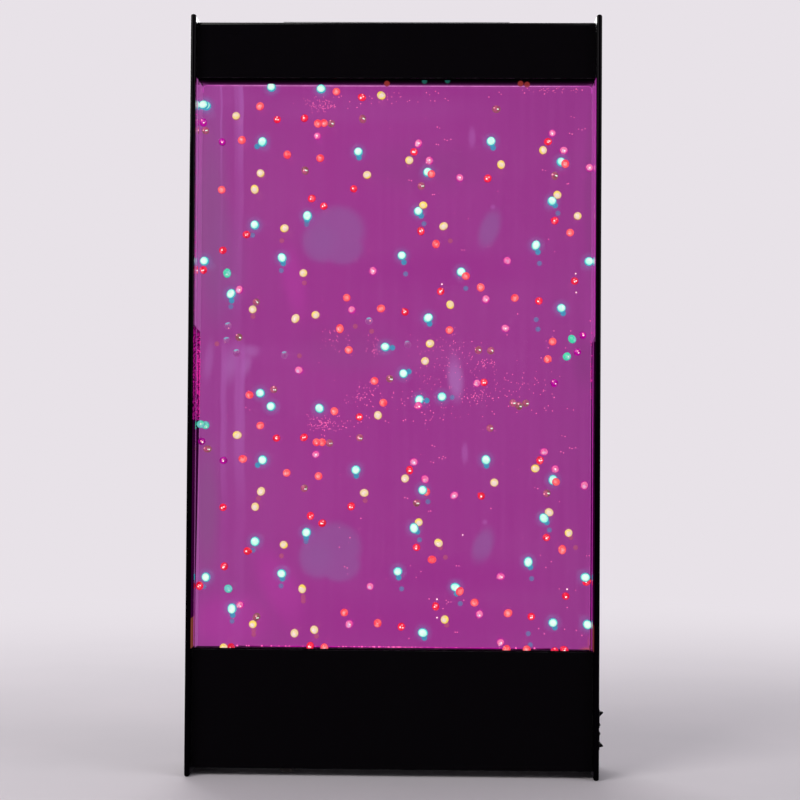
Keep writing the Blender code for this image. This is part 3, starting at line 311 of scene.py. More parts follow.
def clingTree():
    # small balls that sit on each given point's bead, spread about one side
    tree, given = growTree("clinging", [
        ("Reach", "NodeSocketFloat", 0.0045), ("Lean", "NodeSocketVector", (0, -1, 0)),
        ("Spread", "NodeSocketFloat", 0.5), ("Smallest", "NodeSocketFloat", 0.0012),
        ("Largest", "NodeSocketFloat", 0.002), ("Share", "NodeSocketFloat", 1.0),
        ("Seed", "NodeSocketInt", 1), ("Finish", "NodeSocketMaterial", None)])
    loose = randomValue(tree, "FLOAT_VECTOR", given["Seed"], (-1, -1, -1), (1, 1, 1))
    loose = addNode(tree, "ShaderNodeVectorMath", {0: loose, "Scale": given["Spread"]},
                    operation="SCALE").outputs[0]
    leaning = vectorSums(tree, "ADD", loose, given["Lean"]).outputs[0]
    aim = vectorSums(tree, "NORMALIZE", leaning).outputs[0]
    step = addNode(tree, "ShaderNodeVectorMath", {0: aim, "Scale": given["Reach"]},
                   operation="SCALE").outputs[0]
    moved = addNode(tree, "GeometryNodeSetPosition",
                    {"Geometry": given["Geometry"], "Offset": step}).outputs[0]
    ball = addNode(tree, "GeometryNodeMeshIcoSphere", {"Radius": 0.5, "Subdivisions": 2}).outputs[0]
    size = randomValue(tree, "FLOAT", given["Seed"], given["Smallest"], given["Largest"])
    picked = randomValue(tree, "BOOLEAN", given["Seed"], Probability=given["Share"])
    closeTree(tree, strewnOn(tree, moved, ball, Selection=picked, Scale=size), given["Finish"])
    return tree


def discTree():
    # flat lenses that face the front; their fade attribute falls from 1 in the middle to 0 at the rim
    tree, given = growTree("flatLenses", [
        ("Radius", "NodeSocketFloat", 0.0035), ("Flatness", "NodeSocketFloat", 0.03),
        ("Step", "NodeSocketFloat", 0.00001), ("Finish", "NodeSocketMaterial", None)])
    ball = addNode(tree, "GeometryNodeMeshUVSphere",
                   {"Segments": 16, "Rings": 9, "Radius": given["Radius"]}).outputs[0]
    place = tree.nodes.new("GeometryNodeInputPosition").outputs[0]
    flat = vectorSums(tree, "MULTIPLY", place, (1, 0, 1)).outputs[0]
    apart = sums(tree, "DIVIDE", vectorSums(tree, "LENGTH", flat).outputs["Value"], given["Radius"])
    fade = addNode(tree, "ShaderNodeMath", {0: 1.0, 1: apart}, operation="SUBTRACT",
                   use_clamp=True).outputs[0]
    ball = addNode(tree, "GeometryNodeStoreNamedAttribute", {
        "Geometry": ball, "Name": "fade", "Value": fade}, data_type="FLOAT", domain="POINT").outputs[0]
    shape = addNode(tree, "ShaderNodeCombineXYZ", {0: 1.0, 1: given["Flatness"], 2: 1.0}).outputs[0]
    index = tree.nodes.new("GeometryNodeInputIndex").outputs[0]
    nudge = sums(tree, "MULTIPLY", index, given["Step"])
    nudge = addNode(tree, "ShaderNodeCombineXYZ", {0: 0.0, 1: nudge, 2: 0.0}).outputs[0]
    moved = addNode(tree, "GeometryNodeSetPosition",
                    {"Geometry": given["Geometry"], "Offset": nudge}).outputs[0]
    closeTree(tree, strewnOn(tree, moved, ball, Scale=shape), given["Finish"])
    return tree


def fizzTree():
    # a cloud of very small bubbles round a centre
    tree, given = growTree("fizz", [
        ("Count", "NodeSocketInt", 40), ("Centre", "NodeSocketVector", (0, 0, 0)),
        ("Spread", "NodeSocketVector", (0.01, 0.01, 0.01)), ("Smallest", "NodeSocketFloat", 0.0006),
        ("Largest", "NodeSocketFloat", 0.0011), ("Seed", "NodeSocketInt", 1),
        ("Finish", "NodeSocketMaterial", None)])
    index = tree.nodes.new("GeometryNodeInputIndex").outputs[0]
    ends = (-0.5, -0.5, -0.5), (0.5, 0.5, 0.5)
    seeds = [sums(tree, "ADD", given["Seed"], apart) for apart in (0.0, 50.0)]
    offsets = [randomValue(tree, "FLOAT_VECTOR", seed, *ends, ID=index) for seed in seeds]
    # two draws added crowd the bubbles towards the middle
    drift = vectorSums(tree, "ADD", *offsets).outputs[0]
    drift = vectorSums(tree, "MULTIPLY", drift, given["Spread"]).outputs[0]
    spot = vectorSums(tree, "ADD", drift, given["Centre"]).outputs[0]
    cloud = addNode(tree, "GeometryNodePoints", {"Count": given["Count"], "Position": spot}).outputs[0]
    ball = addNode(tree, "GeometryNodeMeshIcoSphere", {"Radius": 0.5, "Subdivisions": 1}).outputs[0]
    size = randomValue(tree, "FLOAT", given["Seed"], given["Smallest"], given["Largest"])
    closeTree(tree, strewnOn(tree, cloud, ball, Scale=size), given["Finish"])
    return tree


def threadTree():
    # a round thread along a path
    tree, given = growTree("thread", [
        ("Radius", "NodeSocketFloat", 0.0005), ("Sides", "NodeSocketInt", 8),
        ("Finish", "NodeSocketMaterial", None)])
    route = addNode(tree, "GeometryNodeMeshToCurve", {0: given["Geometry"]}).outputs[0]
    ring = addNode(tree, "GeometryNodeCurvePrimitiveCircle", {
        "Resolution": given["Sides"], "Radius": given["Radius"]}).outputs[0]
    tube = addNode(tree, "GeometryNodeCurveToMesh", {
        "Curve": route, "Profile Curve": ring, "Fill Caps": True}).outputs[0]
    closeTree(tree, tube, given["Finish"])
    return tree


def rowTree():
    # raised rims along a line, one round each air hole
    tree, given = growTree("rimRow", [
        ("Count", "NodeSocketInt", 28), ("Start", "NodeSocketVector", (0, 0, 0)),
        ("Step", "NodeSocketVector", (0.015, 0, 0)), ("Radius", "NodeSocketFloat", 0.0016),
        ("Thickness", "NodeSocketFloat", 0.0004), ("Finish", "NodeSocketMaterial", None)])
    line = addNode(tree, "GeometryNodeMeshLine", {
        "Count": given["Count"], "Start Location": given["Start"], "Offset": given["Step"]}).outputs[0]
    route = addNode(tree, "GeometryNodeCurvePrimitiveCircle",
                    {"Resolution": 16, "Radius": given["Radius"]}).outputs[0]
    ring = addNode(tree, "GeometryNodeCurvePrimitiveCircle",
                   {"Resolution": 6, "Radius": given["Thickness"]}).outputs[0]
    rim = addNode(tree, "GeometryNodeCurveToMesh", {"Curve": route, "Profile Curve": ring}).outputs[0]
    closeTree(tree, strewnOn(tree, line, rim), given["Finish"])
    return tree


def screwTree():
    # the given screw at each point, each turned by chance about its own axis
    tree, given = growTree("screws", [
        ("Screw", "NodeSocketObject", None), ("Seed", "NodeSocketInt", 3),
        ("Turn", "NodeSocketVector", (0, 0, 0)), ("Finish", "NodeSocketMaterial", None)])
    shape = addNode(tree, "GeometryNodeObjectInfo", {"Object": given["Screw"]}).outputs["Geometry"]
    spin = randomValue(tree, "FLOAT_VECTOR", given["Seed"], (0, 0, 0), (0, 0, fullTurn))
    strewn = strewnOn(tree, given["Geometry"], shape, Rotation=given["Turn"])
    strewn = addNode(tree, "GeometryNodeRotateInstances", {0: strewn, "Rotation": spin}).outputs[0]
    closeTree(tree, strewn, given["Finish"], smooth=False)
    return tree


# effects that several finishes share

def makeWipeMarks():
    tree, given, out = shaderGroup("wipeMarks", [
        ("Vector", "NodeSocketVector", (0, 0, 0)), ("Scale", "NodeSocketFloat", 9.0),
        ("Gloss", "NodeSocketFloat", 0.06), ("Haze", "NodeSocketFloat", 0.12)],
        [("Roughness", "NodeSocketFloat"), ("Height", "NodeSocketFloat")])
    cloth = noisy(tree, given["Vector"], given["Scale"], 4.0, 0.6, (1.0, 1.0, 0.35), (0.3, 0.9, 0.2))
    cloth = ranged(tree, cloth, 0.48, 0.74)
    hair = noisy(tree, given["Vector"], 260.0, 1.0, 0.4, (1.0, 1.0, 0.03), (0.0, 0.35, 0.0))
    hair = ranged(tree, hair, 0.66, 0.7)
    haze = sums(tree, "MULTIPLY_ADD", cloth, given["Haze"], given["Gloss"])
    tree.links.new(sums(tree, "MULTIPLY_ADD", hair, 0.06, haze), out["Roughness"])
    wave = noisy(tree, given["Vector"], 22.0, 1.0, 0.4)
    tree.links.new(sums(tree, "MULTIPLY_ADD", hair, -0.05, wave), out["Height"])
    return tree


def makePowderGrain():
    tree, given, out = shaderGroup("powderGrain", [
        ("Vector", "NodeSocketVector", (0, 0, 0)), ("Scale", "NodeSocketFloat", 900.0)],
        [("Height", "NodeSocketFloat"), ("Shade", "NodeSocketFloat")])
    fine = noisy(tree, given["Vector"], given["Scale"], 2.0, 0.6)
    blobs = addNode(tree, "ShaderNodeTexVoronoi", {
        "Vector": given["Vector"], "Scale": given["Scale"]}, feature="SMOOTH_F1").outputs[0]
    tree.links.new(sums(tree, "MULTIPLY_ADD", blobs, -0.5, fine), out["Height"])
    broad = noisy(tree, given["Vector"], 14.0, 3.0, 0.5)
    tree.links.new(ranged(tree, broad, 0.3, 0.7), out["Shade"])
    return tree


def makeDrawnLines():
    tree, given, out = shaderGroup("drawnLines", [
        ("Vector", "NodeSocketVector", (0, 0, 0)), ("Stretch", "NodeSocketVector", (0.02, 1, 1)),
        ("Scale", "NodeSocketFloat", 1400.0)],
        [("Height", "NodeSocketFloat"), ("Mask", "NodeSocketFloat")])
    place = vectorSums(tree, "MULTIPLY", given["Vector"], given["Stretch"]).outputs[0]
    lines = noisy(tree, place, given["Scale"], 3.0, 0.6)
    tree.links.new(lines, out["Height"])
    tree.links.new(ranged(tree, lines, 0.35, 0.65), out["Mask"])
    return tree


def makeSettledDust():
    tree, given, out = shaderGroup("settledDust", [
        ("Vector", "NodeSocketVector", (0, 0, 0)), ("Base", "NodeSocketColor", (0, 0, 0, 1)),
        ("Dust", "NodeSocketColor", tone(120, 114, 110)), ("Amount", "NodeSocketFloat", 0.3),
        ("Roughness", "NodeSocketFloat", 0.1)],
        [("Color", "NodeSocketColor"), ("Roughness", "NodeSocketFloat")])
    normal = tree.nodes.new("ShaderNodeNewGeometry").outputs["Normal"]
    upward = ranged(tree, addNode(tree, "ShaderNodeSeparateXYZ", {0: normal}).outputs[2], 0.5, 1.0)
    specks = ranged(tree, noisy(tree, given["Vector"], 700.0, 3.0, 0.75), 0.5, 0.72)
    drifts = ranged(tree, noisy(tree, given["Vector"], 30.0, 3.0, 0.6), 0.35, 0.7, 0.25, 1.0)
    amount = sums(tree, "MULTIPLY", drifts, given["Amount"])
    mask = sums(tree, "MULTIPLY", sums(tree, "MULTIPLY", upward, specks), amount)
    tree.links.new(blended(tree, mask, given["Base"], given["Dust"]), out["Color"])
    tree.links.new(sums(tree, "MULTIPLY_ADD", mask, 0.6, given["Roughness"]), out["Roughness"])
    return tree


def makeRubbedEdges():
    # how near a point is to an edge of a box: the second of its three distances to the faces
    tree, given, out = shaderGroup("rubbedEdges", [
        ("Vector", "NodeSocketVector", (0, 0, 0)), ("Centre", "NodeSocketVector", (0, 0, 0)),
        ("Half", "NodeSocketVector", (1, 1, 1)), ("Width", "NodeSocketFloat", 0.001)],
        [("Mask", "NodeSocketFloat")])
    away = vectorSums(tree, "SUBTRACT", given["Vector"], given["Centre"]).outputs[0]
    away = vectorSums(tree, "ABSOLUTE", away).outputs[0]
    inside = vectorSums(tree, "SUBTRACT", given["Half"], away).outputs[0]
    x, y, z = addNode(tree, "ShaderNodeSeparateXYZ", {0: inside}).outputs
    nearest = sums(tree, "MINIMUM", x, y)
    second = sums(tree, "MAXIMUM", nearest, sums(tree, "MINIMUM", sums(tree, "MAXIMUM", x, y), z))
    edge = sums(tree, "DIVIDE", second, given["Width"])
    edge = ranged(tree, edge, 1.0, 0.0, smooth=True)
    rubbed = ranged(tree, noisy(tree, given["Vector"], 160.0, 4.0, 0.7), 0.42, 0.62)
    tree.links.new(sums(tree, "MULTIPLY", edge, rubbed), out["Mask"])
    return tree


def makeSoftSpot():
    tree, given, out = shaderGroup("softSpot", [
        ("Vector", "NodeSocketVector", (0, 0, 0)), ("Centre", "NodeSocketVector", (0, 0, 0)),
        ("Size", "NodeSocketVector", (0.03, 1, 0.03)), ("Core", "NodeSocketFloat", 0.5),
        ("Lean", "NodeSocketFloat", 0.0)],
        [("Mask", "NodeSocketFloat")])
    away = vectorSums(tree, "SUBTRACT", given["Vector"], given["Centre"]).outputs[0]
    x, y, z = addNode(tree, "ShaderNodeSeparateXYZ", {0: away}).outputs
    x = sums(tree, "SUBTRACT", x, sums(tree, "MULTIPLY", z, given["Lean"]))
    away = addNode(tree, "ShaderNodeCombineXYZ", {0: x, 1: y, 2: z}).outputs[0]
    away = vectorSums(tree, "DIVIDE", away, given["Size"]).outputs[0]
    reach = vectorSums(tree, "LENGTH", away).outputs["Value"]
    tree.links.new(ranged(tree, reach, 1.0, given["Core"], smooth=True), out["Mask"])
    return tree


# painted light: the beads' and bubbles' glow is laid out along this direction, lighter where they face it
forward = (-0.02, -0.998, 0.03)  # out of the window, a little up and to the left


def makeBeadGlow():
    # painted light: a glow with a core, ring and rim set by the way the surface faces, lighter where it faces
    # the front, with a little marbling and some odd patches; beads and bubbles glow with it though they are no
    # lamps
    tree, given, out = shaderGroup("beadGlow", [
        ("Vector", "NodeSocketVector", (0, 0, 0)), ("Core", "NodeSocketColor", (1, 1, 1, 1)),
        ("Ring", "NodeSocketColor", (1, 1, 1, 1)), ("Other", "NodeSocketColor", (1, 1, 1, 1)),
        ("Rim", "NodeSocketColor", (1, 1, 1, 1)),
        ("Aim", "NodeSocketVector", forward), ("RimEdge", "NodeSocketFloat", 0.4),
        ("CoreEdge", "NodeSocketFloat", 0.7), ("Marble", "NodeSocketFloat", 0.15)],
        [("Color", "NodeSocketColor")])
    normal = tree.nodes.new("ShaderNodeNewGeometry").outputs["Normal"]
    swirl = ranged(tree, noisy(tree, given["Vector"], 320.0, 2.0, 0.5), 0.3, 0.7, -1.0, 1.0)
    bands = []
    for aim, edge, under, over in ((forward, "RimEdge", 0.14, 0.1),
                                   (given["Aim"], "CoreEdge", 0.1, 0.08)):
        facing = vectorSums(tree, "DOT_PRODUCT", normal, aim).outputs["Value"]
        facing = sums(tree, "MULTIPLY_ADD", swirl, given["Marble"], facing)
        low = sums(tree, "SUBTRACT", given[edge], under)
        bands.append(ranged(tree, facing, low, sums(tree, "ADD", given[edge], over), smooth=True))
    rim, core = bands
    patch = ranged(tree, noisy(tree, given["Vector"], 120.0, 1.0, 0.4), 0.5, 0.6, smooth=True)
    ring = blended(tree, patch, given["Ring"], given["Other"])
    core = sums(tree, "MULTIPLY", core, ranged(tree, patch, 0.0, 1.0, 1.0, 0.55))
    colour = blended(tree, core, blended(tree, rim, given["Rim"], ring), given["Core"])
    tree.links.new(colour, out["Color"])
    return tree


wipeMarks, powderGrain = makeWipeMarks(), makePowderGrain()
drawnLines, settledDust = makeDrawnLines(), makeSettledDust()
rubbedEdges, softSpot, beadGlow = makeRubbedEdges(), makeSoftSpot(), makeBeadGlow()
print("shared effects ready")


# camera, room and lamps

cameraSettings = {
    "place": (0.04918, -2.05, 0.3698), "lens": 82.809, "sensor": 36, "clipFrom": 0.05,
    "yaw": 1.296, "pitch": 1.176, "roll": -0.383, "level": 90}

data = bpy.data.cameras.new("studioCamera")
data.lens = cameraSettings["lens"]
data.sensor_width = cameraSettings["sensor"]
data.clip_start = cameraSettings["clipFrom"]
camera = bpy.data.objects.new("studioCamera", data)
turn = Matrix.Rotation(math.radians(cameraSettings["yaw"]), 4, "Z")
for key, axis in (("pitch", "X"), ("roll", "Y"), ("level", "X")):
    turn = turn @ Matrix.Rotation(math.radians(cameraSettings[key]), 4, axis)
camera.matrix_world = Matrix.Translation(cameraSettings["place"]) @ turn
bpy.context.scene.collection.objects.link(camera)
bpy.context.scene.camera = camera
bpy.context.scene.view_settings.view_transform = "Standard"

roomSettings = {
    "shown": tone(232, 226, 232), "ambient": tone(205, 200, 208), "ambientLevel": 0.45,
    "frontShade": tone(40, 37, 42), "floor": tone(220, 214, 219), "floorCloud": tone(214, 209, 214),
    "floorHalf": 60.0, "fadeFrom": 0.25, "fadeTo": 2.2, "mirroredFloor": tone(40, 37, 41)}

world = bpy.data.worlds.new("studio")
bpy.context.scene.world = world
world.use_nodes = True
tree = world.node_tree
tree.nodes.clear()
light = tree.nodes.new("ShaderNodeLightPath").outputs
seen = sums(tree, "MAXIMUM", light["Is Glossy Ray"], light["Is Transmission Ray"])
heading = tree.nodes.new("ShaderNodeTexCoord").outputs["Generated"]
# gloss sees a dim room in front of the panel
behind = addNode(tree, "ShaderNodeSeparateXYZ", {0: heading}).outputs[1]
behind = ranged(tree, behind, -0.8, 0.1)
mirrored = ramped(tree, behind, [(0.0, roomSettings["frontShade"]), (1.0, roomSettings["shown"])])
shown = blended(tree, light["Is Camera Ray"], mirrored, roomSettings["shown"])
ambient = {0: roomSettings["ambient"], 1: roomSettings["ambientLevel"]}
room = addNode(tree, "ShaderNodeBackground", ambient).outputs[0]
picture = addNode(tree, "ShaderNodeBackground", {0: shown, 1: 1.0}).outputs[0]
either = sums(tree, "MAXIMUM", light["Is Camera Ray"], seen)
whole = addNode(tree, "ShaderNodeMixShader", {0: either, 1: room, 2: picture}).outputs[0]
tree.links.new(whole, tree.nodes.new("ShaderNodeOutputWorld").inputs[0])

floorMaterial, tree, shader, where = newMaterial("floorPaper", roughness=0.75, specular=0.1)
cloud = ranged(tree, noisy(tree, where, 3.0, 3.0, 0.5), 0.3, 0.7)
feed(tree, shader, baseColor=blended(tree, cloud, roomSettings["floor"], roomSettings["floorCloud"]))
bumped(tree, shader, noisy(tree, where, 380.0, 2.0, 0.5), 0.05, 0.0004)
# the floor's far part is backdrop
away = vectorSums(tree, "LENGTH", where).outputs["Value"]
away = ranged(tree, away, roomSettings["fadeFrom"], roomSettings["fadeTo"], smooth=True)
path = tree.nodes.new("ShaderNodeLightPath").outputs
away = sums(tree, "MULTIPLY", away, path["Is Camera Ray"])
backdrop = addNode(tree, "ShaderNodeEmission", {0: roomSettings["shown"], 1: 1.0}).outputs[0]
mixed = addNode(tree, "ShaderNodeMixShader", {0: away, 1: shader.outputs[0], 2: backdrop}).outputs[0]
dark = addNode(tree, "ShaderNodeEmission", {0: roomSettings["mirroredFloor"], 1: 1.0}).outputs[0]
mixed = addNode(tree, "ShaderNodeMixShader", {0: path["Is Glossy Ray"], 1: mixed, 2: dark}).outputs[0]
tree.links.new(mixed, tree.nodes["Material Output"].inputs[0])
half = roomSettings["floorHalf"]
floorMesh = bpy.data.meshes.new("studioFloor")
floorMesh.from_pydata([(-half, -half, 0), (half, -half, 0), (half, half, 0), (-half, half, 0)], [],
                      [(0, 1, 2, 3)])
floorMesh.materials.append(floorMaterial)
floor = bpy.data.objects.new("studioFloor", floorMesh)
bpy.context.scene.collection.objects.link(floor)

lampAim = Vector((0, 0, 0.42))
lampSettings = [
    {"name": "keyLamp", "place": (-1.9, -2.3, 2.6), "size": 1.8, "power": 55,
     "tone": (1.0, 0.98, 0.96)},
    {"name": "fillLamp", "place": (2.6, -1.5, 1.5), "size": 2.2, "power": 26,
     "tone": (0.96, 0.98, 1.0)},
    {"name": "backLamp", "place": (-0.6, 2.7, 2.2), "size": 2.2, "power": 55, "tone": (1.0, 1.0, 1.0)}]
for lamp in lampSettings:
    data = bpy.data.lights.new(lamp["name"], "AREA")
    data.shape = "SQUARE"
    data.size = lamp["size"]
    data.energy = lamp["power"]
    data.color = lamp["tone"]
    obj = bpy.data.objects.new(lamp["name"], data)
    aim = (lampAim - Vector(lamp["place"])).to_track_quat("-Z", "Y").to_matrix().to_4x4()
    obj.matrix_world = Matrix.Translation(lamp["place"]) @ aim
    bpy.context.scene.collection.objects.link(obj)
print("camera, room and lamps ready")


# the housing's finishes

glossSettings = {
    "tint": tone(9, 7, 10), "cheekTint": tone(5, 3, 6), "rubbed": tone(66, 62, 66),
    "rubShare": 0.25, "rubRough": 0.2, "wipes": 9.0, "gloss": 0.07, "haze": 0.14, "dust": 0.5,
    "wave": 0.12, "waveDeep": 0.0006}
satinSettings = {
    "tint": tone(20, 19, 21), "barTint": tone(9, 8, 10), "rubbed": tone(98, 96, 98),
    "rubShare": 0.45, "rub": 0.0009, "grain": 900.0, "wipes": 12.0, "haze": 0.12, "dust": 0.7,
    "bump": 0.35, "bumpDeep": 0.0003}


def lighter(tint, share):
    return tuple(value * share for value in tint[:3]) + (1.0,)


def glossBlack(node, tint=glossSettings["tint"], rub=0.0012, sheen=0.22):
    # cast black acrylic: wipe marks, soft waves, rubbed edges, dust where it faces up
    low, high, middle = boxOf(node)
    given = glossSettings
    material, tree, shader, where = newMaterial(titled(node) + "Gloss", specular=sheen)
    marks = useGroup(tree, wipeMarks, vector=where, scale=given["wipes"], gloss=given["gloss"],
                     haze=given["haze"])
    edges = useGroup(tree, rubbedEdges, vector=where, centre=middle, half=(high - low) / 2, width=rub)
    rubbed = blended(tree, sums(tree, "MULTIPLY", edges["Mask"], given["rubShare"]), tint,
                     given["rubbed"])
    dusty = useGroup(tree, settledDust, vector=where, base=rubbed, amount=given["dust"],
                     roughness=marks["Roughness"])
    rough = sums(tree, "MULTIPLY_ADD", edges["Mask"], given["rubRough"], dusty["Roughness"])
    feed(tree, shader, baseColor=dusty["Color"], roughness=rough)
    bumped(tree, shader, marks["Height"], given["wave"], given["waveDeep"])
    dress(material, node)


def satinBlack(node, tint=satinSettings["tint"], rough=0.42):
    # powder coat on sheet steel
    low, high, middle = boxOf(node)
    given = satinSettings
    material, tree, shader, where = newMaterial(titled(node) + "Satin", specular=0.4)
    powder = useGroup(tree, powderGrain, vector=where, scale=given["grain"])
    edges = useGroup(tree, rubbedEdges, vector=where, centre=middle, half=(high - low) / 2,
                     width=given["rub"])
    base = blended(tree, powder["Shade"], tint, lighter(tint, 1.35))
    base = blended(tree, sums(tree, "MULTIPLY", edges["Mask"], given["rubShare"]), base,
                   given["rubbed"])
    marks = useGroup(tree, wipeMarks, vector=where, scale=given["wipes"], gloss=rough,
                     haze=given["haze"])
    dusty = useGroup(tree, settledDust, vector=where, base=base, amount=given["dust"],
                     roughness=marks["Roughness"])
    feed(tree, shader, baseColor=dusty["Color"], roughness=dusty["Roughness"])
    bumped(tree, shader, powder["Height"], given["bump"], given["bumpDeep"])
    dress(material, node)


for node in ("left_cheek", "right_cheek"):
    glossBlack(node, glossSettings["cheekTint"], rub=0.0005, sheen=0.05)
for node in ("top_fascia", "bottom_fascia", "top_plate", "service_lid"):
    glossBlack(node)
for node in ("base_plate", "back_panel", "tank_shelf", "screw_block_left", "screw_block_right"):
    satinBlack(node)
satinBlack("bubble_bar", satinSettings["barTint"], rough=0.62)


def switchPlastic(name, tint, grain, rough):
    # moulded switch parts: a fine grain and a little dust
    material, tree, shader, where = newMaterial(name, specular=0.35)
    powder = useGroup(tree, powderGrain, vector=where, scale=grain)
    base = blended(tree, powder["Shade"], tint, lighter(tint, 1.3))
    dusty = useGroup(tree, settledDust, vector=where, base=base, amount=0.5, roughness=rough)
    feed(tree, shader, baseColor=dusty["Color"], roughness=dusty["Roughness"])
    bumped(tree, shader, powder["Height"], 0.18, 0.00015)
    return material


bezelPlastic = switchPlastic("bezelPlastic", tone(17, 16, 18), 2200.0, 0.4)
rockerPlastic = switchPlastic("rockerPlastic", tone(12, 11, 13), 1600.0, 0.16)
dress(bezelPlastic, "pump_switch", "light_switch")
dress(rockerPlastic, "pump_rocker", "light_rocker")


def metal(name, tint, second, rough, stretch, lines, spangle=0.0):
    # lines drawn along the metal, cloudy patches, and crystals where it is plated
    material, tree, shader, where = newMaterial(name, metallic=1.0)
    drawn = useGroup(tree, drawnLines, vector=where, stretch=stretch, scale=1400.0)
    flakes = addNode(tree, "ShaderNodeTexVoronoi", {"Vector": where, "Scale": 420.0}).outputs["Color"]
    flakes = addNode(tree, "ShaderNodeSeparateXYZ", {0: flakes}).outputs[0]
    patches = ranged(tree, noisy(tree, where, 40.0, 3.0, 0.6), 0.3, 0.7)
    mix = sums(tree, "MULTIPLY_ADD", flakes, spangle, sums(tree, "MULTIPLY", patches, 1.0 - spangle))
    marks = useGroup(tree, wipeMarks, vector=where, scale=20.0, gloss=rough, haze=0.12)
    feed(tree, shader, baseColor=blended(tree, mix, tint, second),
         roughness=sums(tree, "MULTIPLY_ADD", drawn["Mask"], 0.1, marks["Roughness"]))
    bumped(tree, shader, drawn["Height"], lines, 0.0001)
    return material


zincPlate = metal("zincPlate", tone(178, 176, 168), tone(148, 150, 152), 0.26, (1, 1, 0.1), 0.08, 0.35)
railMetal = metal("railMetal", tone(196, 197, 199), tone(178, 180, 183), 0.3, (0.015, 1, 1), 0.3)
channelMetal = metal("channelMetal", tone(188, 189, 191), tone(170, 172, 175), 0.34, (0.015, 1, 1), 0.3)
nickelPlate = metal("nickelPlate", tone(190, 184, 172), tone(172, 168, 158), 0.14, (1, 1, 1), 0.03, 0.1)
baseScrews = ["base_screw_1", "base_screw_2", "base_screw_3", "base_screw_4"]
hangerScrews = ["hanger_screw_1", "hanger_screw_2"]
dress(zincPlate, *baseScrews, *hangerScrews)
dress(railMetal, "hanger_rail", "wall_bracket")
dress(channelMetal, "led_channel_bottom", "led_channel_top")
dress(nickelPlate, "power_socket", "tank_inlet")


def clearPlastic(name, tint, rough, ior):
    material, tree, shader, where = newMaterial(name, transmission=1.0, ior=ior)
    marks = useGroup(tree, wipeMarks, vector=where, scale=6.0, gloss=rough, haze=0.02)
    slight = ranged(tree, noisy(tree, where, 5.0, 2.0, 0.5), 0.3, 0.7)
    feed(tree, shader, roughness=marks["Roughness"],
         baseColor=blended(tree, slight, tint, (1, 1, 1, 1)))
    return material


clearPane = clearPlastic("clearPane", (0.985, 0.975, 0.985, 1), 0.0, 1.33)
dress(clearPane, "front_pane", "back_pane", "tank_floor", "tank_lid")
dress(clearPlastic("guideSheet", (0.97, 0.985, 0.98, 1), 0.05, 1.49), "light_guide")
dress(clearPlastic("valvePlastic", (0.88, 0.94, 0.97, 1), 0.08, 1.5), "check_valve")
dress(clearPlastic("siliconeHose", (0.86, 0.88, 0.86, 1), 0.24, 1.42), "pump_hose", "riser_hose")


def moulded(name, tint, second, rough, grain, bump=0.2):
    # plastic, rubber, foam or film with a grain
    material, tree, shader, where = newMaterial(name)
    powder = useGroup(tree, powderGrain, vector=where, scale=grain)
    marks = useGroup(tree, wipeMarks, vector=where, scale=18.0, gloss=rough, haze=0.1)
    base = blended(tree, powder["Shade"], tint, second)
    dusty = useGroup(tree, settledDust, vector=where, base=base, amount=0.3,
                     roughness=marks["Roughness"])
    feed(tree, shader, baseColor=dusty["Color"], roughness=dusty["Roughness"])
    bumped(tree, shader, powder["Height"], bump, 0.0002)
    return material


dress(moulded("pumpPlastic", tone(86, 90, 96), tone(78, 82, 88), 0.38, 1200.0), "pump_body",
      "pump_cover")
dress(moulded("trayPlastic", tone(104, 106, 108), tone(96, 98, 101), 0.45, 1200.0), "board_tray")
dress(moulded("padFoam", tone(52, 52, 54), tone(38, 38, 41), 0.9, 420.0, 0.9), "pump_pad")
dress(moulded("plugRubber", tone(34, 33, 35), tone(27, 26, 28), 0.6, 1500.0, 0.3), "filler_plug")
dress(moulded("leadRubber", tone(24, 24, 26), tone(18, 18, 20), 0.5, 2000.0, 0.2),
      "inlet_lead", "pump_lead", "light_lead", "switch_lead")
dress(moulded("reflectorFilm", tone(238, 238, 236), tone(230, 231, 230), 0.3, 700.0, 0.1), "reflector")


def circuitBoard(name, tint, copper, pads, scale):
    # solder mask over square-cornered tracks, with bright pads
    material, tree, shader, where = newMaterial(name)
    tracks = addNode(tree, "ShaderNodeTexBrick", {
        "Vector": where, "Color1": (1, 1, 1, 1), "Color2": (0.6, 0.6, 0.6, 1), "Mortar": (0, 0, 0, 1),
        "Scale": scale, "Mortar Size": 0.012}).outputs[0]
    dots = addNode(tree, "ShaderNodeTexVoronoi", {"Vector": where, "Scale": scale * 2.2}).outputs[0]
    dots = ranged(tree, dots, 0.24, 0.2)
    base = blended(tree, addNode(tree, "ShaderNodeSeparateXYZ", {0: tracks}).outputs[0], copper, tint)
    feed(tree, shader, baseColor=blended(tree, dots, base, pads),
         metallic=sums(tree, "MULTIPLY", dots, 0.9),
         roughness=ranged(tree, noisy(tree, where, 90.0, 2.0, 0.5), 0.3, 0.7, 0.24, 0.4))
    bumped(tree, shader, dots, 0.3, 0.0002)
    return material


dress(circuitBoard("controlBoardMask", tone(22, 78, 46), tone(34, 102, 60), tone(190, 188, 180), 160.0),
      "control_board")
dress(circuitBoard("ledBoardMask", tone(226, 226, 220), tone(206, 204, 196), tone(214, 196, 96), 220.0),
      "led_strip_bottom", "led_strip_top")
print("solids dressed")


# finer shapes for the solids that show: rubbed-down edges, real screws, marked rockers

edgeSettings = {  # mm and degrees
    "merge": 0.002, "flatWithin": 1, "sharpFrom": 28, "steps": 3, "flatFrom": 2}


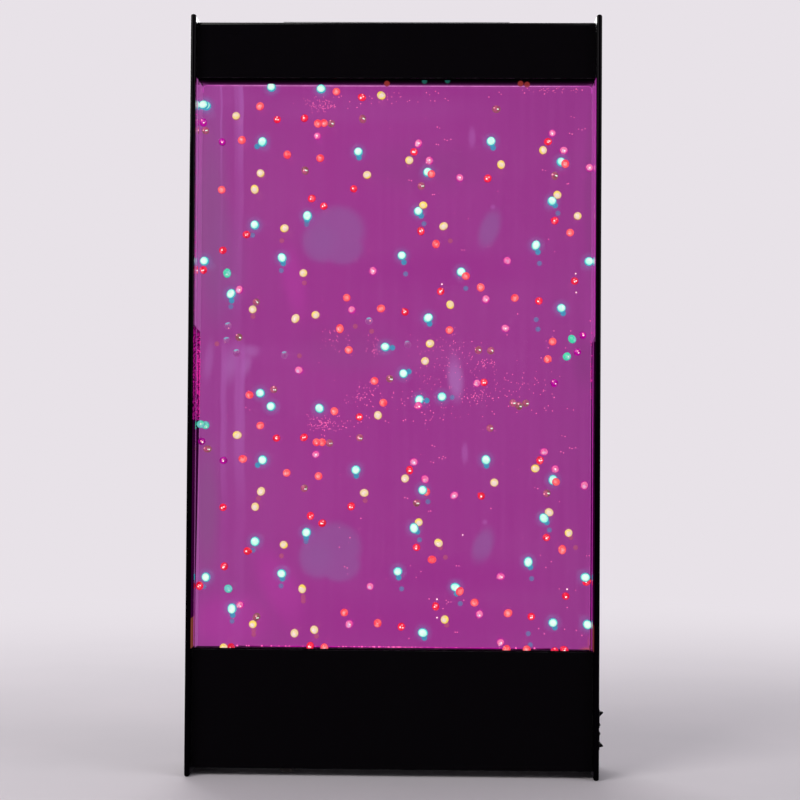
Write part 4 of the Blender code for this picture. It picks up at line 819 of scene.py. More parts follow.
def softened(name, width):
    # a merged copy of a solid with its sharp outer edges rounded; its broad faces stay flat
    form = bmesh.new()
    form.from_mesh(nodes[name].data)
    form.transform(nodes[name].matrix_world)
    bmesh.ops.remove_doubles(form, verts=form.verts, dist=edgeSettings["merge"] / 1000)
    bmesh.ops.dissolve_limit(form, angle_limit=math.radians(edgeSettings["flatWithin"]),
                             verts=form.verts, edges=form.edges)
    sharp = [edge for edge in form.edges if edge.is_manifold and edge.is_convex
             and edge.calc_face_angle() > math.radians(edgeSettings["sharpFrom"])]
    bmesh.ops.bevel(form, geom=sharp, offset=width / 1000, offset_type="OFFSET",
                    segments=edgeSettings["steps"], profile=0.5, affect="EDGES", clamp_overlap=True)
    for face in form.faces:
        breadth = 2 * face.calc_area() / face.calc_perimeter()
        face.smooth = breadth < edgeSettings["flatFrom"] / 1000
    return meshFrom(form, name + "Soft")


softSettings = [  # solid, piece, body, slot, rounding in mm
    ("left_cheek", "leftCheek", "housing", "black_gloss", 0.5),
    ("right_cheek", "rightCheek", "housing", "black_gloss", 0.5),
    ("top_fascia", "topFascia", "housing", "black_gloss", 0.4),
    ("bottom_fascia", "bottomFascia", "housing", "black_gloss", 0.4),
    ("top_plate", "topPlate", "housing", "black_gloss", 0.3),
    ("service_lid", "serviceLid", "lid", "black_gloss", 0.4),
    ("back_panel", "backPanel", "housing", "black_satin", 0.3),
    ("base_plate", "basePlate", "housing", "black_satin", 0.3),
    ("hanger_rail", "hangerRail", "housing", "aluminium", 0.25),
    ("wall_bracket", "wallBracket", "housing", "aluminium", 0.25),
    ("pump_switch", "pumpBezel", "housing", "black_satin", 0.3),
    ("light_switch", "lightBezel", "housing", "black_satin", 0.3),
    ("pump_rocker", "pumpRocker", "upper_rocker", "black_gloss", 0.4),
    ("light_rocker", "lightRocker", "lower_rocker", "black_gloss", 0.4),
    ("filler_plug", "fillerPlug", "plug", "soft_rubber", 0.4)]
softPieces = {}
for node, piece, body, slot, width in softSettings:
    softPieces[node] = addPiece(piece, softened(node, width), finishOf(node), body, slot, node)
    print("softened", node, len(softPieces[node].data.polygons))

markPaint = moulded("markPaint", tone(196, 194, 190), tone(182, 180, 176), 0.5, 1800.0, 0.1)
markSettings = {"apart": 4.3, "line": 0.19, "sunk": 0.08, "height": 2.2, "ring": 1.05, "steps": 18}


growThread = threadTree()


def rockerMarks(node):
    # an I and an O laid on the rocker's two ends, each square to the surface under it
    mesh = softPieces[node].data
    tree = BVHTree.FromPolygons([point.co for point in mesh.vertices],
                                [list(face.vertices) for face in mesh.polygons])
    low, high, middle = boxOf(node)
    across = Vector((0, 1, 0))
    tubes = []
    for side in (1, -1):
        start = Vector((0.4, middle.y, middle.z + side * markSettings["apart"] / 1000))
        spot, normal, face, far = tree.ray_cast(start, Vector((-1, 0, 0)))
        up = normal.cross(across).normalized()
        if up.z < 0:
            up = -up
        spot = spot - normal * markSettings["sunk"] / 1000
        if side > 0:
            half = markSettings["height"] / 2000
            path = [spot - up * half, spot, spot + up * half]
        else:
            path = []
            for step in range(markSettings["steps"] + 1):
                angle = math.tau * step / markSettings["steps"]
                around = across * math.cos(angle) + up * math.sin(angle)
                path.append(spot + around * markSettings["ring"] / 1000)
        tubes.append(grown(growThread, pathMesh(path),
                           {"Radius": markSettings["line"] / 1000, "Sides": 8}))
    return joined(tubes)


addPiece("pumpMarks", rockerMarks("pump_rocker"), markPaint, "upper_rocker", "white_film")
addPiece("lightMarks", rockerMarks("light_rocker"), markPaint, "lower_rocker", "white_film")


def lathe(rings, sides, hexFrom=None):
    # turns (radius, height) rings in mm about the z axis; from ring hexFrom on, the section is a hexagon
    form = bmesh.new()
    rows = []
    for place, (radius, height) in enumerate(rings):
        if radius == 0:
            rows.append([form.verts.new(mm(0, 0, height))])
            continue
        row = []
        for step in range(sides):
            angle = math.tau * step / sides
            reach = radius
            if hexFrom is not None and place >= hexFrom:
                sixth = (angle + math.pi / 6) % (math.pi / 3) - math.pi / 6
                reach = radius / math.cos(sixth)
            row.append(form.verts.new(mm(reach * math.cos(angle), reach * math.sin(angle), height)))
        rows.append(row)
    for first, second in zip(rows, rows[1:]):
        for step in range(sides):
            nextStep = (step + 1) % sides
            if len(first) == 1:
                form.faces.new((first[0], second[step], second[nextStep]))
            elif len(second) == 1:
                form.faces.new((first[step], first[nextStep], second[0]))
            else:
                form.faces.new((first[step], first[nextStep], second[nextStep], second[step]))
    bmesh.ops.recalc_face_normals(form, faces=form.faces)
    return meshFrom(form, "turned")


screwSettings = {"baseLength": 12.4, "hangerLength": 6.4, "headHeight": 2.2, "pitch": 0.8,
                 "sides": 24, "seed": 5}


def screwShape(length):
    # a button-head screw: its head stands up from z 0 and holds a hexagon socket, its thread runs down
    rings = [(0, -length), (0.9, -length)]
    height = -length + 0.3
    while height < -0.9:
        rings += [(1.5, height), (1.24, height + screwSettings["pitch"] / 2)]
        height += screwSettings["pitch"]
    rings += [(1.5, -0.4), (1.5, 0), (2.95, 0), (3.2, 0.3), (3.2, 0.85), (3.02, 1.45), (2.6, 1.9),
              (2.0, 2.15), (1.5, 2.2), (1.22, 2.2), (1.18, 2.1), (1.18, 0.9), (0, 0.7)]
    return lathe(rings, screwSettings["sides"], hexFrom=len(rings) - 4)


growScrews = screwTree()


def placeScrews(name, spots, length, turn, *replaced):
    template = bpy.data.objects.new("screwTemplate", screwShape(length))
    bpy.context.scene.collection.objects.link(template)
    mesh = grown(growScrews, pointMesh(spots),
                 {"Screw": template, "Turn": turn, "Seed": screwSettings["seed"]})
    bpy.data.objects.remove(template)
    addPiece(name, mesh, zincPlate, "housing", "zinc", *replaced)


spots = []
for node in baseScrews:  # heads down, under the base plate
    low, high, middle = boxOf(node)
    spots.append((middle.x, middle.y, low.z + screwSettings["headHeight"] / 1000))
placeScrews("baseScrews", spots, screwSettings["baseLength"], (math.pi, 0, 0), *baseScrews)
spots = []
for node in hangerScrews:  # heads to the back, on the hanging rail
    low, high, middle = boxOf(node)
    spots.append((middle.x, high.y - screwSettings["headHeight"] / 1000, middle.z))
placeScrews("hangerScrews", spots, screwSettings["hangerLength"], (-math.pi / 2, 0, 0), *hangerScrews)

socketSettings = [  # piece, rings of radius and height in mm above the socket's rim, sides, finish, slot
    ("socketPin", [(0, 2.4), (0.55, 2.5), (0.95, 3.0), (1.0, 3.4), (1.0, 9.7), (0, 9.7)], 20,
     nickelPlate, "nickel"),
    ("socketInsert", [(0.0, 9.5), (1.6, 9.5), (1.8, 9.2), (3.1, 9.2), (3.3, 9.5), (3.3, 10.4),
                      (0, 10.4)], 24,
     finishOf("inlet_lead"), "black_rubber")]
low, high, middle = boxOf("power_socket")
for name, rings, sides, finish, slot in socketSettings:
    mesh = lathe(rings, sides)
    mesh.transform(Matrix.Translation((middle.x, middle.y, low.z)))
    addPiece(name, mesh, finish, "housing", slot)

rimSettings = {"count": 28, "pitch": 15.0, "radius": 1.5, "thickness": 0.4}
low, high, middle = boxOf("bubble_bar")
begin = Vector((middle.x - rimSettings["pitch"] * (rimSettings["count"] - 1) / 2000, middle.y, high.z))
rims = grown(rowTree(), onePoint, {
    "Count": rimSettings["count"], "Start": begin, "Step": mm(rimSettings["pitch"], 0, 0),
    "Radius": rimSettings["radius"] / 1000, "Thickness": rimSettings["thickness"] / 1000})
addPiece("airRims", rims, finishOf("bubble_bar"), "housing", "black_satin")
print("finer shapes ready")


# the lit opal sheet behind the water

fieldSettings = {
    "left": -0.2219, "right": 0.2155, "bottom": 0.128, "top": 0.775, "level": 1.05,
    "across": [(0.0, (150, 64, 140)), (0.12, (154, 62, 141)), (0.3, (157, 56, 141)), (0.6, (155, 56, 140)),
               (0.85, (153, 58, 139)), (1.0, (148, 58, 136))],
    "streaks": [(0.0, 0.1), (0.0436, 0.25), (0.0444, 1.0), (0.0492, 0.95), (0.0504, 0.15),
                (0.079, 0.12), (0.082, 0.45), (0.091, 0.5), (0.093, 0.8), (0.1022, 0.85),
                (0.1044, 0.0), (1.0, 0.0)],
    "streaksUp": [(0.0, 0.0), (0.53, 0.0), (0.6, 0.2), (0.72, 0.25), (0.82, 0.38), (0.88, 0.7),
                  (0.93, 0.9), (1.0, 0.95)],
    "folds": [(0.0, 0.1), (0.051, 0.15), (0.053, 0.7), (0.066, 0.6), (0.069, 0.15), (0.088, 0.2), (0.091, 0.7),
              (0.112, 0.8), (0.117, 0.0), (1.0, 0.0)],
    "foldsUp": [(0.0, 0.1), (0.25, 0.2), (0.36, 0.7), (0.47, 0.8), (0.53, 0.55), (0.55, 0.0), (1.0, 0.0)],
    "streak": tone(174, 96, 176), "grey": tone(140, 78, 136), "deep": tone(152, 44, 136),
    "pale": tone(160, 68, 148), "blue": tone(144, 91, 156), "ember": tone(206, 96, 78),
    "violet": tone(142, 80, 144), "hot": tone(178, 58, 158), "dull": tone(138, 58, 128),
    "lilac": tone(170, 104, 176), "paintedTopShade": tone(10, 1, 9)}

softSpots = [  # colour, strength, share of core, then centre x and z, half sizes in mm and lean of each part
    ("blue", 0.58, 0.62, [(-66, 602.4, 37, 33.5, 0), (-83.5, 590.5, 27, 29, 0), (-60, 583, 28, 23, 0)]),
    ("blue", 0.58, 0.62, [(-67, 246.5, 36, 33.5, 0), (-84.5, 235.5, 27, 29, 0), (-61, 227, 28, 23, 0)]),
    ("blue", 0.3, 0.2, [(-84, 590, 26, 28, 0)]), ("blue", 0.3, 0.2, [(-85, 235, 25, 27, 0)]),
    ("blue", 0.62, 0.4, [(105, 605, 15.5, 29, 0.24)]),
    ("blue", 0.62, 0.4, [(99.5, 249, 15.5, 27, 0.24)]),
    ("streak", 0.45, 0.3, [(108.6, 630, 4, 4, 0), (101.7, 276, 4, 4, 0), (84.8, 708, 5.5, 17, 0),
                           (78.7, 353, 5.5, 16, 0)]),
    ("lilac", 0.85, 0.3, [(67.5, 438, 12, 36, -0.08)]),
    ("lilac", 0.62, 0.1, [(-163, 466, 16, 11, 0), (-168, 452, 10, 22, 0.2), (-185, 452, 13, 32, 0.1)]),
    ("lilac", 0.4, 0.2, [(-210, 456, 8, 32, 0.1)]),
    ("grey", 0.8, 0.2, [(-209, 620, 27, 170, 0), (-211, 290, 22, 110, 0)]),
    ("violet", 0.4, 0.3, [(-193, 560, 30, 90, 0)]),
    ("dull", 0.7, 0.3, [(217, 455, 24, 40, 0), (220, 640, 12, 150, 0)]),
    ("hot", 0.5, 0.3, [(-115, 545, 18, 55, -0.2), (-127, 200, 30, 60, -0.4),
                       (-185, 162, 60, 44, 0)]),
    ("pale", 0.45, 0.3, [(-17, 462, 210, 24, 0), (-37, 740, 200, 24, 0), (-185, 752, 60, 16, 0)]),
    # painted light: a pool of coral light in the bottom right corner
    ("ember", 0.75, 0.35, [(223, 142, 7, 15, 0), (217, 131, 14, 8, 0)]),
    ("dull", 0.35, 0.2, [(33, 675, 110, 40, 0), (-57, 470, 80, 40, 0)]),
    ("deep", 0.6, 0.1, [(63, 560, 150, 34, 0), (73, 215, 150, 34, 0), (23, 165, 220, 44, 0)])]

opalMaterial, tree, shader, where = newMaterial("litOpal", glow=fieldSettings["level"])
x, y, z = addNode(tree, "ShaderNodeSeparateXYZ", {0: where}).outputs
across = ranged(tree, x, fieldSettings["left"], fieldSettings["right"])
upward = ranged(tree, z, fieldSettings["bottom"], fieldSettings["top"])
glow = ramped(tree, across, [(place, tone(*colour)) for place, colour in fieldSettings["across"]])
clouds = ranged(tree, noisy(tree, where, 9.0, 3.0, 0.55), 0.35, 0.65)
glow = blended(tree, sums(tree, "MULTIPLY", clouds, 0.35), glow, fieldSettings["deep"])
curtain = noisy(tree, where, 170.0, 2.0, 0.5, (1.0, 1.0, 0.03))
curtain = ranged(tree, curtain, 0.4, 0.75)
glow = blended(tree, sums(tree, "MULTIPLY", curtain, 0.34), glow, fieldSettings["pale"])
for colour, strength, core, parts in softSpots:
    mask = 0.0
    for spotX, spotZ, halfX, halfZ, lean in parts:
        spot = useGroup(tree, softSpot, vector=where, centre=mm(spotX - panelMiddle, 19, spotZ),
                        size=mm(halfX, 900, halfZ), core=core, lean=lean)
        mask = sums(tree, "MAXIMUM", mask, spot["Mask"])
    glow = blended(tree, sums(tree, "MULTIPLY", mask, strength), glow, fieldSettings[colour])
sway = ranged(tree, noisy(tree, where, 14.0, 1.0, 0.4, (0.2, 1.0, 1.0)), 0.3, 0.7, -0.0035, 0.0035)
ripple = ranged(tree, noisy(tree, where, 300.0, 1.0, 0.5, (1.0, 1.0, 0.02)), 0.3, 0.7, 0.75, 1.0)
for keys in (("streaks", "streaksUp"), ("folds", "foldsUp")):
    bands, heights = [[(place, (level, level, level, 1)) for place, level in fieldSettings[key]]
                      for key in keys]
    stripes = ramped(tree, sums(tree, "ADD", across, sway), bands)
    reach = ramped(tree, upward, heights)
    stripes = sums(tree, "MULTIPLY", sums(tree, "MULTIPLY", stripes, reach), ripple)
    glow = blended(tree, stripes, glow, fieldSettings["streak"])
# painted shade: the sheet's glow is darkened to near black above the water, where the fascia shades it
glow = blended(tree, ranged(tree, z, 0.7655, 0.768), glow, fieldSettings["paintedTopShade"])
feed(tree, shader, emission=glow, baseColor=blended(tree, 0.8, glow, tone(20, 6, 18)),
     roughness=ranged(tree, noisy(tree, where, 500.0, 2.0, 0.5), 0.3, 0.7, 0.45, 0.6))
bumped(tree, shader, noisy(tree, where, 600.0, 2.0, 0.5), 0.1, 0.0002)
dress(opalMaterial, "diffuser")
print("opal sheet lit")


# the beads

beadSettings = {"segments": 12, "rings": 8, "smallest": 0.95, "longest": 1.18}

beadPlaces = {  # x and height in mm from the panel's middle and foot, then depth from its front
    "mint": [(-214.0, 737.8, 32.2), (-214.0, 741.1, 56.5), (-140.9, 762.3, 56.5), (-84.8, 760.1, 54),
        (-149.3, 698.9, 45), (-42.7, 689.8, 56.5), (35.2, 666.9, 54), (184.1, 678.9, 54),
        (-158.3, 607.2, 56.5), (-99.1, 617.2, 54), (25.0, 622.6, 51), (173.1, 632.6, 36), (7.2, 572.1, 42),
        (156.3, 585.1, 51), (-211.4, 564.2, 32.2), (73.2, 554.5, 45), (214.0, 565.6, 32.2),
        (-184.3, 529.8, 56.5), (185.1, 515.4, 54), (-10.4, 470.3, 39), (9.6, 441.5, 56.5), (-149.4, 418.4, 45),
        (52.7, 415.4, 36), (27.5, 412.5, 56.5), (-136.2, 403.5, 33), (-83.3, 401.9, 45), (-146.8, 344.0, 51),
        (-42.1, 333.8, 39), (101.9, 345.9, 45), (32.0, 312.2, 36), (176.4, 324.3, 48), (-153.3, 253.9, 39),
        (-97.5, 263.5, 54), (22.8, 270.1, 36), (166.1, 282.0, 39), (-123.2, 218.8, 36), (5.1, 221.8, 42),
        (-209.0, 213.1, 51), (69.0, 204.2, 51), (211.5, 217.8, 32.2), (-180.0, 178.0, 54), (33.1, 153.1, 54),
        (177.0, 166.4, 45), (214.0, 166.0, 32.2)],
    "green": [(-186.1, 550.9, 33), (197.5, 481.1, 56.5), (190.2, 460.6, 33), (-213.9, 383.4, 32.2),
        (-211.8, 382.5, 56.5), (-182.9, 201.2, 42)],
    "cream": [(57.3, 169.0, 45),
        (-179.2, 728.2, 48), (-156.5, 644.4, 36), (-17.0, 751.0, 45), (-32.6, 663.8, 56.5),
        (14.6, 679.6, 51), (30.7, 627.5, 36), (53.3, 603.9, 33), (116.6, 672.8, 36), (163.5, 690.9, 48),
        (180.1, 641.9, 54), (202.8, 618.4, 54), (-123.1, 601.2, 36), (-103.1, 553.2, 54), (-158.9, 511.8, 48),
        (-111.3, 502.1, 51), (-89.1, 506.5, 54), (61.3, 518.7, 56.5), (39.2, 474.4, 42), (-18.0, 394.5, 39),
        (-173.3, 371.6, 33), (-148.7, 308.9, 56.5), (-153.1, 292.4, 36), (-122.3, 249.8, 51),
        (-33.3, 308.1, 54), (-101.4, 201.0, 51), (-156.4, 160.9, 54), (-110.1, 151.1, 56.5),
        (-86.6, 157.3, 36), (-186.3, 137.3, 32.2), (12.6, 324.9, 33), (111.0, 321.0, 36), (156.5, 336.8, 45),
        (27.8, 275.9, 54), (49.9, 253.6, 45), (194.0, 265.6, 48)],
    "coral": [(-152.9, 739.8, 51), (-172.3, 700.8, 45), (-121.7, 685.0, 48), (-67.6, 757.0, 54),
        (-86.6, 717.5, 33), (-81.2, 721.1, 51), (-85.2, 682.2, 54), (-194.0, 644.7, 42), (39.5, 662.7, 39),
        (187.6, 674.1, 36), (78.3, 548.9, 33), (94.9, 536.9, 39), (133.3, 526.6, 54), (-54.5, 526.1, 56.5),
        (-15.6, 513.4, 45), (-61.3, 490.7, 45), (-50.8, 466.6, 36), (-22.7, 433.0, 54), (-162.6, 416.6, 56.5),
        (175.7, 478.1, 54), (169.5, 458.0, 42), (60.6, 489.2, 36), (-66.7, 398.8, 45), (-12.7, 408.8, 56.5),
        (-149.7, 382.4, 51), (-85.8, 364.2, 36), (-80.6, 364.2, 54), (-167.3, 345.3, 36), (-120.0, 329.8, 54),
        (-83.4, 326.7, 39), (36.0, 310.0, 51), (178.9, 322.3, 33), (42.8, 234.3, 56.5), (186.3, 247.8, 36),
        (73.8, 201.2, 33), (-53.7, 176.2, 39), (-17.0, 164.2, 45), (-75.1, 137.8, 32.2), (90.4, 186.9, 56.5),
        (127.2, 176.8, 42), (125.3, 137.9, 32.2), (147.6, 138.1, 32.2)],
    "red": [(-133.6, 724.9, 51), (-103.2, 727.1, 54), (-38.0, 746.7, 33), (20.1, 686.3, 33),
        (168.1, 698.1, 33), (-47.0, 646.7, 45), (-93.5, 635.3, 42), (-80.2, 627.3, 45), (-167.2, 596.2, 54),
        (-193.3, 578.1, 51), (-214.0, 555.4, 45), (28.2, 599.6, 42), (177.2, 612.8, 51), (102.4, 660.4, 56.5),
        (50.6, 532.3, 39), (10.9, 510.4, 56.5), (198.3, 544.0, 33), (99.4, 432.0, 51), (-38.3, 392.5, 33),
        (-130.7, 368.5, 42), (-101.1, 369.5, 54), (17.3, 333.9, 45), (96.8, 306.2, 33), (161.0, 345.9, 33),
        (-190.2, 291.1, 48), (-161.2, 243.6, 33), (-189.0, 225.0, 54), (-213.6, 204.9, 32.2),
        (-47.6, 293.1, 51), (-92.4, 282.4, 45), (-78.9, 274.7, 39), (25.5, 248.3, 48), (169.8, 260.0, 54),
        (-90.8, 139.8, 32.2), (9.1, 160.3, 48), (47.2, 184.1, 36), (191.0, 195.9, 45), (153.2, 172.7, 48),
        (-179.5, 136.4, 45), (178.1, 136.7, 32.2), (189.8, 136.4, 45), (214.0, 212.1, 45)],
    "pink": [(-88.1, 706.0, 48), (24.8, 697.0, 42), (173.5, 709.4, 45), (37.1, 677.1, 36), (186.1, 689.8, 42),
        (71.0, 659.4, 45), (214.0, 669.3, 32.2), (-24.8, 555.1, 45), (124.2, 566.9, 42), (-173.4, 533.3, 42),
        (-48.3, 512.0, 48), (100.8, 524.2, 45), (122.8, 492.2, 48), (91.4, 430.5, 36), (-105.5, 443.8, 33),
        (26.6, 405.4, 39), (-86.9, 350.7, 45), (22.2, 343.3, 33), (34.3, 323.9, 54), (166.1, 355.2, 45),
        (178.3, 336.5, 39), (210.0, 318.7, 32.2), (67.1, 306.0, 56.5), (-25.1, 205.7, 33),
        (119.4, 216.2, 56.5), (-169.7, 183.1, 45), (-49.0, 161.7, 56.5), (95.8, 174.6, 51), (119.3, 144.4, 45)],
    "magenta": [(-214.0, 718.3, 32.2), (-194.3, 698.7, 45), (208.6, 484.9, 48), (203.4, 466.5, 54),
        (177.0, 431.4, 42), (-212.4, 364.5, 32.2), (-188.7, 343.4, 36)],
    "olive": [(-213.0, 711.4, 45), (-72.1, 718.5, 39), (-38.2, 726.9, 56.5), (111.6, 738.3, 56.5),
        (-102.0, 668.3, 54), (28.1, 651.4, 54), (176.8, 662.5, 48), (-153.9, 519.2, 36), (-174.1, 480.7, 48),
        (-134.0, 422.5, 39), (-5.4, 435.4, 45), (92.9, 467.7, 45), (106.3, 466.7, 33), (-208.5, 355.9, 51),
        (-71.5, 363.5, 39), (-37.8, 369.6, 33), (-99.1, 313.2, 39), (106.2, 381.1, 42), (132.1, 409.5, 56.5),
        (137.8, 406.0, 36), (146.2, 409.2, 54), (169.2, 309.6, 39), (25.4, 297.4, 48), (-151.0, 170.5, 39)],
    "clear": [(-184.6, 492.4, 33), (-188.8, 477.2, 56.5), (-175.5, 462.8, 39), (-122.6, 460.9, 45),
        (-28.6, 499.0, 39), (14.1, 473.9, 54)]}

beadKinds = {
    "mint": {"core": tone(232, 255, 244), "ring": tone(178, 250, 222), "other": tone(150, 250, 224),
             "rim": tone(0, 160, 184), "marble": 0.02, "edges": (0.6, 0.8),
             "aim": (-0.02, -0.998, 0.03), "level": 1.05, "diameter": 10.7,
             "base": tone(70, 150, 150), "slot": "bead_mint",
             "replaced": ["bead_mint_1", "bead_mint_2", "bead_mint_3", "bead_mint_4"]},
    "green": {"core": tone(150, 226, 204), "ring": tone(66, 214, 168), "other": tone(110, 190, 196),
              "rim": tone(16, 150, 150), "marble": 0.2, "edges": (0.42, 0.9),
              "aim": (0.2, -0.96, -0.2), "level": 1.0, "diameter": 9.5, "base": tone(40, 140, 110),
              "slot": "bead_mint", "replaced": []},
    "cream": {"core": tone(246, 222, 212), "ring": tone(234, 208, 158), "other": tone(250, 220, 92),
              "rim": tone(156, 92, 74), "marble": 0.05, "edges": (0.42, 0.84),
              "aim": (-0.08, -0.98, -0.12), "level": 1.0, "diameter": 9.7,
              "base": tone(150, 120, 80), "slot": "bead_cream",
              "replaced": ["bead_cream_1", "bead_cream_2", "bead_cream_3"]},
    "coral": {"core": tone(255, 150, 150), "ring": tone(255, 96, 104), "other": tone(250, 64, 84),
              "rim": tone(196, 40, 80), "marble": 0.12, "edges": (0.36, 0.88),
              "aim": (-0.08, -0.97, -0.16), "level": 1.02, "diameter": 9.4,
              "base": tone(150, 50, 44), "slot": "bead_coral",
              "replaced": ["bead_coral_1", "bead_coral_2"]},
    "red": {"core": tone(255, 104, 120), "ring": tone(242, 30, 66), "other": tone(214, 12, 52),
            "rim": tone(156, 6, 56), "marble": 0.2, "edges": (0.26, 0.93),
            "aim": (-0.1, -0.97, -0.2), "level": 1.04, "diameter": 8.9, "base": tone(150, 10, 30),
            "slot": "bead_magenta", "replaced": ["bead_magenta_1"]},
    "pink": {"core": tone(226, 180, 226), "ring": tone(240, 120, 170), "other": tone(232, 84, 158),
             "rim": tone(178, 0, 140), "marble": 0.1, "edges": (0.56, 0.92),
             "aim": (-0.1, -0.97, -0.2), "level": 1.0, "diameter": 9.0, "base": tone(150, 40, 100),
             "slot": "bead_magenta", "replaced": []},
    "magenta": {"core": tone(226, 70, 190), "ring": tone(176, 0, 150), "other": tone(140, 0, 124),
                "rim": tone(96, 0, 90), "marble": 0.25, "edges": (0.34, 0.96),
                "aim": (-0.1, -0.97, 0.1), "level": 0.98, "diameter": 8.8, "base": tone(120, 0, 80),
                "slot": "bead_magenta", "replaced": []},
    "olive": {"core": tone(196, 84, 130), "ring": tone(170, 74, 112), "other": tone(120, 74, 74),
              "rim": tone(132, 84, 84), "marble": 0.35, "edges": (0.42, 0.84),
              "aim": (-0.4, -0.9, 0.0), "level": 0.96, "diameter": 8.6, "base": tone(90, 60, 50),
              "slot": "bead_cream", "replaced": []},
    "clear": {"core": tone(128, 176, 204), "ring": tone(160, 80, 152), "other": tone(158, 70, 146),
              "rim": tone(152, 62, 140), "marble": 0.1, "edges": (0.3, 0.72),
              "aim": (-0.1, -0.3, 0.95), "level": 0.94, "diameter": 8.8, "base": tone(80, 60, 80),
              "slot": "clear_plastic", "replaced": []}}

# the glint, pinkGlint and paleGlint bubbles glow as painted highlights on the beads; the own ones are bumps in
# the bead's finish
clinging = {  # bubbles on the beads: lean, spread, smallest and largest in mm, share of the beads, finish
    "cream": [((-0.1, -1, -0.2), 0.15, 1.2, 1.8, 0.3, "glint")],
    "coral": [((-0.1, -1, -0.15), 0.2, 1.4, 2.2, 0.7, "pinkGlint"),
              ((0, -0.3, 0), 1.0, 2.2, 3.4, 0.4, "own")],
    "red": [((-0.15, -1, -0.15), 0.15, 1.7, 2.3, 1.0, "glint"),
            ((0.25, -1, -0.05), 0.2, 1.5, 2.0, 0.6, "glint"),
            ((0.1, -1, 0.4), 0.4, 1.4, 2.2, 0.9, "pinkGlint"),
            ((0, -0.3, 0), 1.0, 2.6, 4.2, 0.5, "own")],
    "pink": [((0.1, -1, -0.15), 0.15, 1.6, 2.2, 0.8, "glint"),
             ((-0.4, -1, -0.3), 0.3, 1.6, 2.2, 0.6, "pinkGlint"),
             ((-0.6, -0.4, -0.6), 0.5, 2.2, 3.4, 0.7, "own")],
    "magenta": [((0.2, -1, -0.1), 0.2, 1.6, 2.2, 1.0, "glint"),
                ((-0.2, -1, 0.3), 0.3, 1.5, 2.0, 0.8, "pinkGlint"),
                ((0, -0.3, 0), 1.0, 1.8, 2.6, 0.4, "own")],
    "green": [((0.2, -1, -0.2), 0.3, 1.2, 1.8, 0.6, "paleGlint")],
    "olive": [((0.62, -1, -0.15), 0.12, 1.6, 2.0, 1.0, "paleGlint"),
              ((0.22, -1, -0.1), 0.12, 1.5, 1.9, 0.9, "paleGlint"),
              ((-0.4, -0.8, 0.3), 0.5, 1.6, 2.4, 0.8, "pinkGlint")],
    "clear": [((0, -1, -0.4), 0.5, 1.4, 2.0, 0.4, "pinkGlint")]}


def beadMaterial(name, kind):
    # painted light: the bead glows with the beadGlow colours, lighter at its core where it faces the front
    material, tree, shader, where = newMaterial(name, glow=kind["level"], coat=0.6,
                                                coatRoughness=0.05, coatIor=1.4)
    given = {key: kind[key] for key in ("core", "ring", "other", "rim", "marble", "aim")}
    rimEdge, coreEdge = kind["edges"]
    glow = useGroup(tree, beadGlow, vector=where, rimEdge=rimEdge, coreEdge=coreEdge, **given)
    veins = ranged(tree, noisy(tree, where, 500.0, 3.0, 0.6), 0.35, 0.65, 0.8, 1.1)
    base = blended(tree, 1.0, kind["base"], veins, "MULTIPLY")
    feed(tree, shader, emission=glow["Color"], baseColor=base,
         roughness=ranged(tree, noisy(tree, where, 250.0, 2.0, 0.5), 0.3, 0.7, 0.12, 0.24))
    return material


def airMaterial(name, middle, edge, level):
    # painted light: a small air bubble that glows, bright where it faces the front, tinted by the field round
    # its edge
    material, tree, shader, where = newMaterial(name, glow=level, roughness=0.1)
    glow = useGroup(tree, beadGlow, vector=where, core=middle, ring=middle, other=middle, rim=edge,
                    marble=0.1, rimEdge=0.5, coreEdge=0.9)
    feed(tree, shader, emission=glow["Color"],
         baseColor=blended(tree, 0.7, glow["Color"], tone(60, 20, 50)))
    return material


airMaterials = {
    "glint": airMaterial("airGlint", tone(255, 232, 236), tone(255, 120, 150), 1.2),
    "pinkGlint": airMaterial("airPinkGlint", tone(255, 170, 184), tone(240, 70, 130), 1.1),
    "paleGlint": airMaterial("airPaleGlint", tone(226, 240, 226), tone(150, 160, 140), 1.15),
    "fizz": airMaterial("airFizz", tone(240, 112, 168), tone(206, 56, 142), 1.2),
    "wallFizz": airMaterial("airWallFizz", tone(226, 44, 156), tone(140, 0, 110), 1.0),
    "footFizz": airMaterial("airFootFizz", tone(255, 110, 180), tone(200, 0, 140), 1.3)}

strewBeads = beadTree()
clingBubbles = clingTree()
beadCentres = {}
glintMeshes = {"glint": [], "pinkGlint": [], "paleGlint": []}
for seed, (kindName, kind) in enumerate(beadKinds.items()):
    centres = []
    for node in kind["replaced"]:
        low, high, middle = boxOf(node)
        centres.append(middle)
    centres += [inPanel(*place) for place in beadPlaces.get(kindName, [])]
    beadCentres[kindName] = centres
    meshes = [grown(strewBeads, pointMesh(centres), {
        "Diameter": kind["diameter"] / 1000, "Segments": beadSettings["segments"],
        "Rings": beadSettings["rings"], "Smallest": beadSettings["smallest"],
        "Longest": beadSettings["longest"], "Seed": seed})]
    for row, (lean, spread, smallest, largest, share, finish) in enumerate(clinging.get(kindName, [])):
        reach = kind["diameter"] / 1000 * (0.4 if finish == "own" else 0.46)
        bubbles = grown(clingBubbles, pointMesh(centres), {
            "Reach": reach, "Lean": lean, "Spread": spread, "Smallest": smallest / 1000,
            "Largest": largest / 1000, "Share": share, "Seed": 10 * seed + row})
        (meshes if finish == "own" else glintMeshes[finish]).append(bubbles)
    addPiece(kindName + "Beads", joined(meshes), beadMaterial(kindName + "Bead", kind), "housing",
             kind["slot"], *kind["replaced"])
    print(kindName, "beads:", len(centres))
for finish, meshes in glintMeshes.items():
    addPiece(finish + "Bubbles", joined(meshes), airMaterials[finish], "housing", "clear_plastic")


# bubbles that rise, cling to the walls and wait at the foot

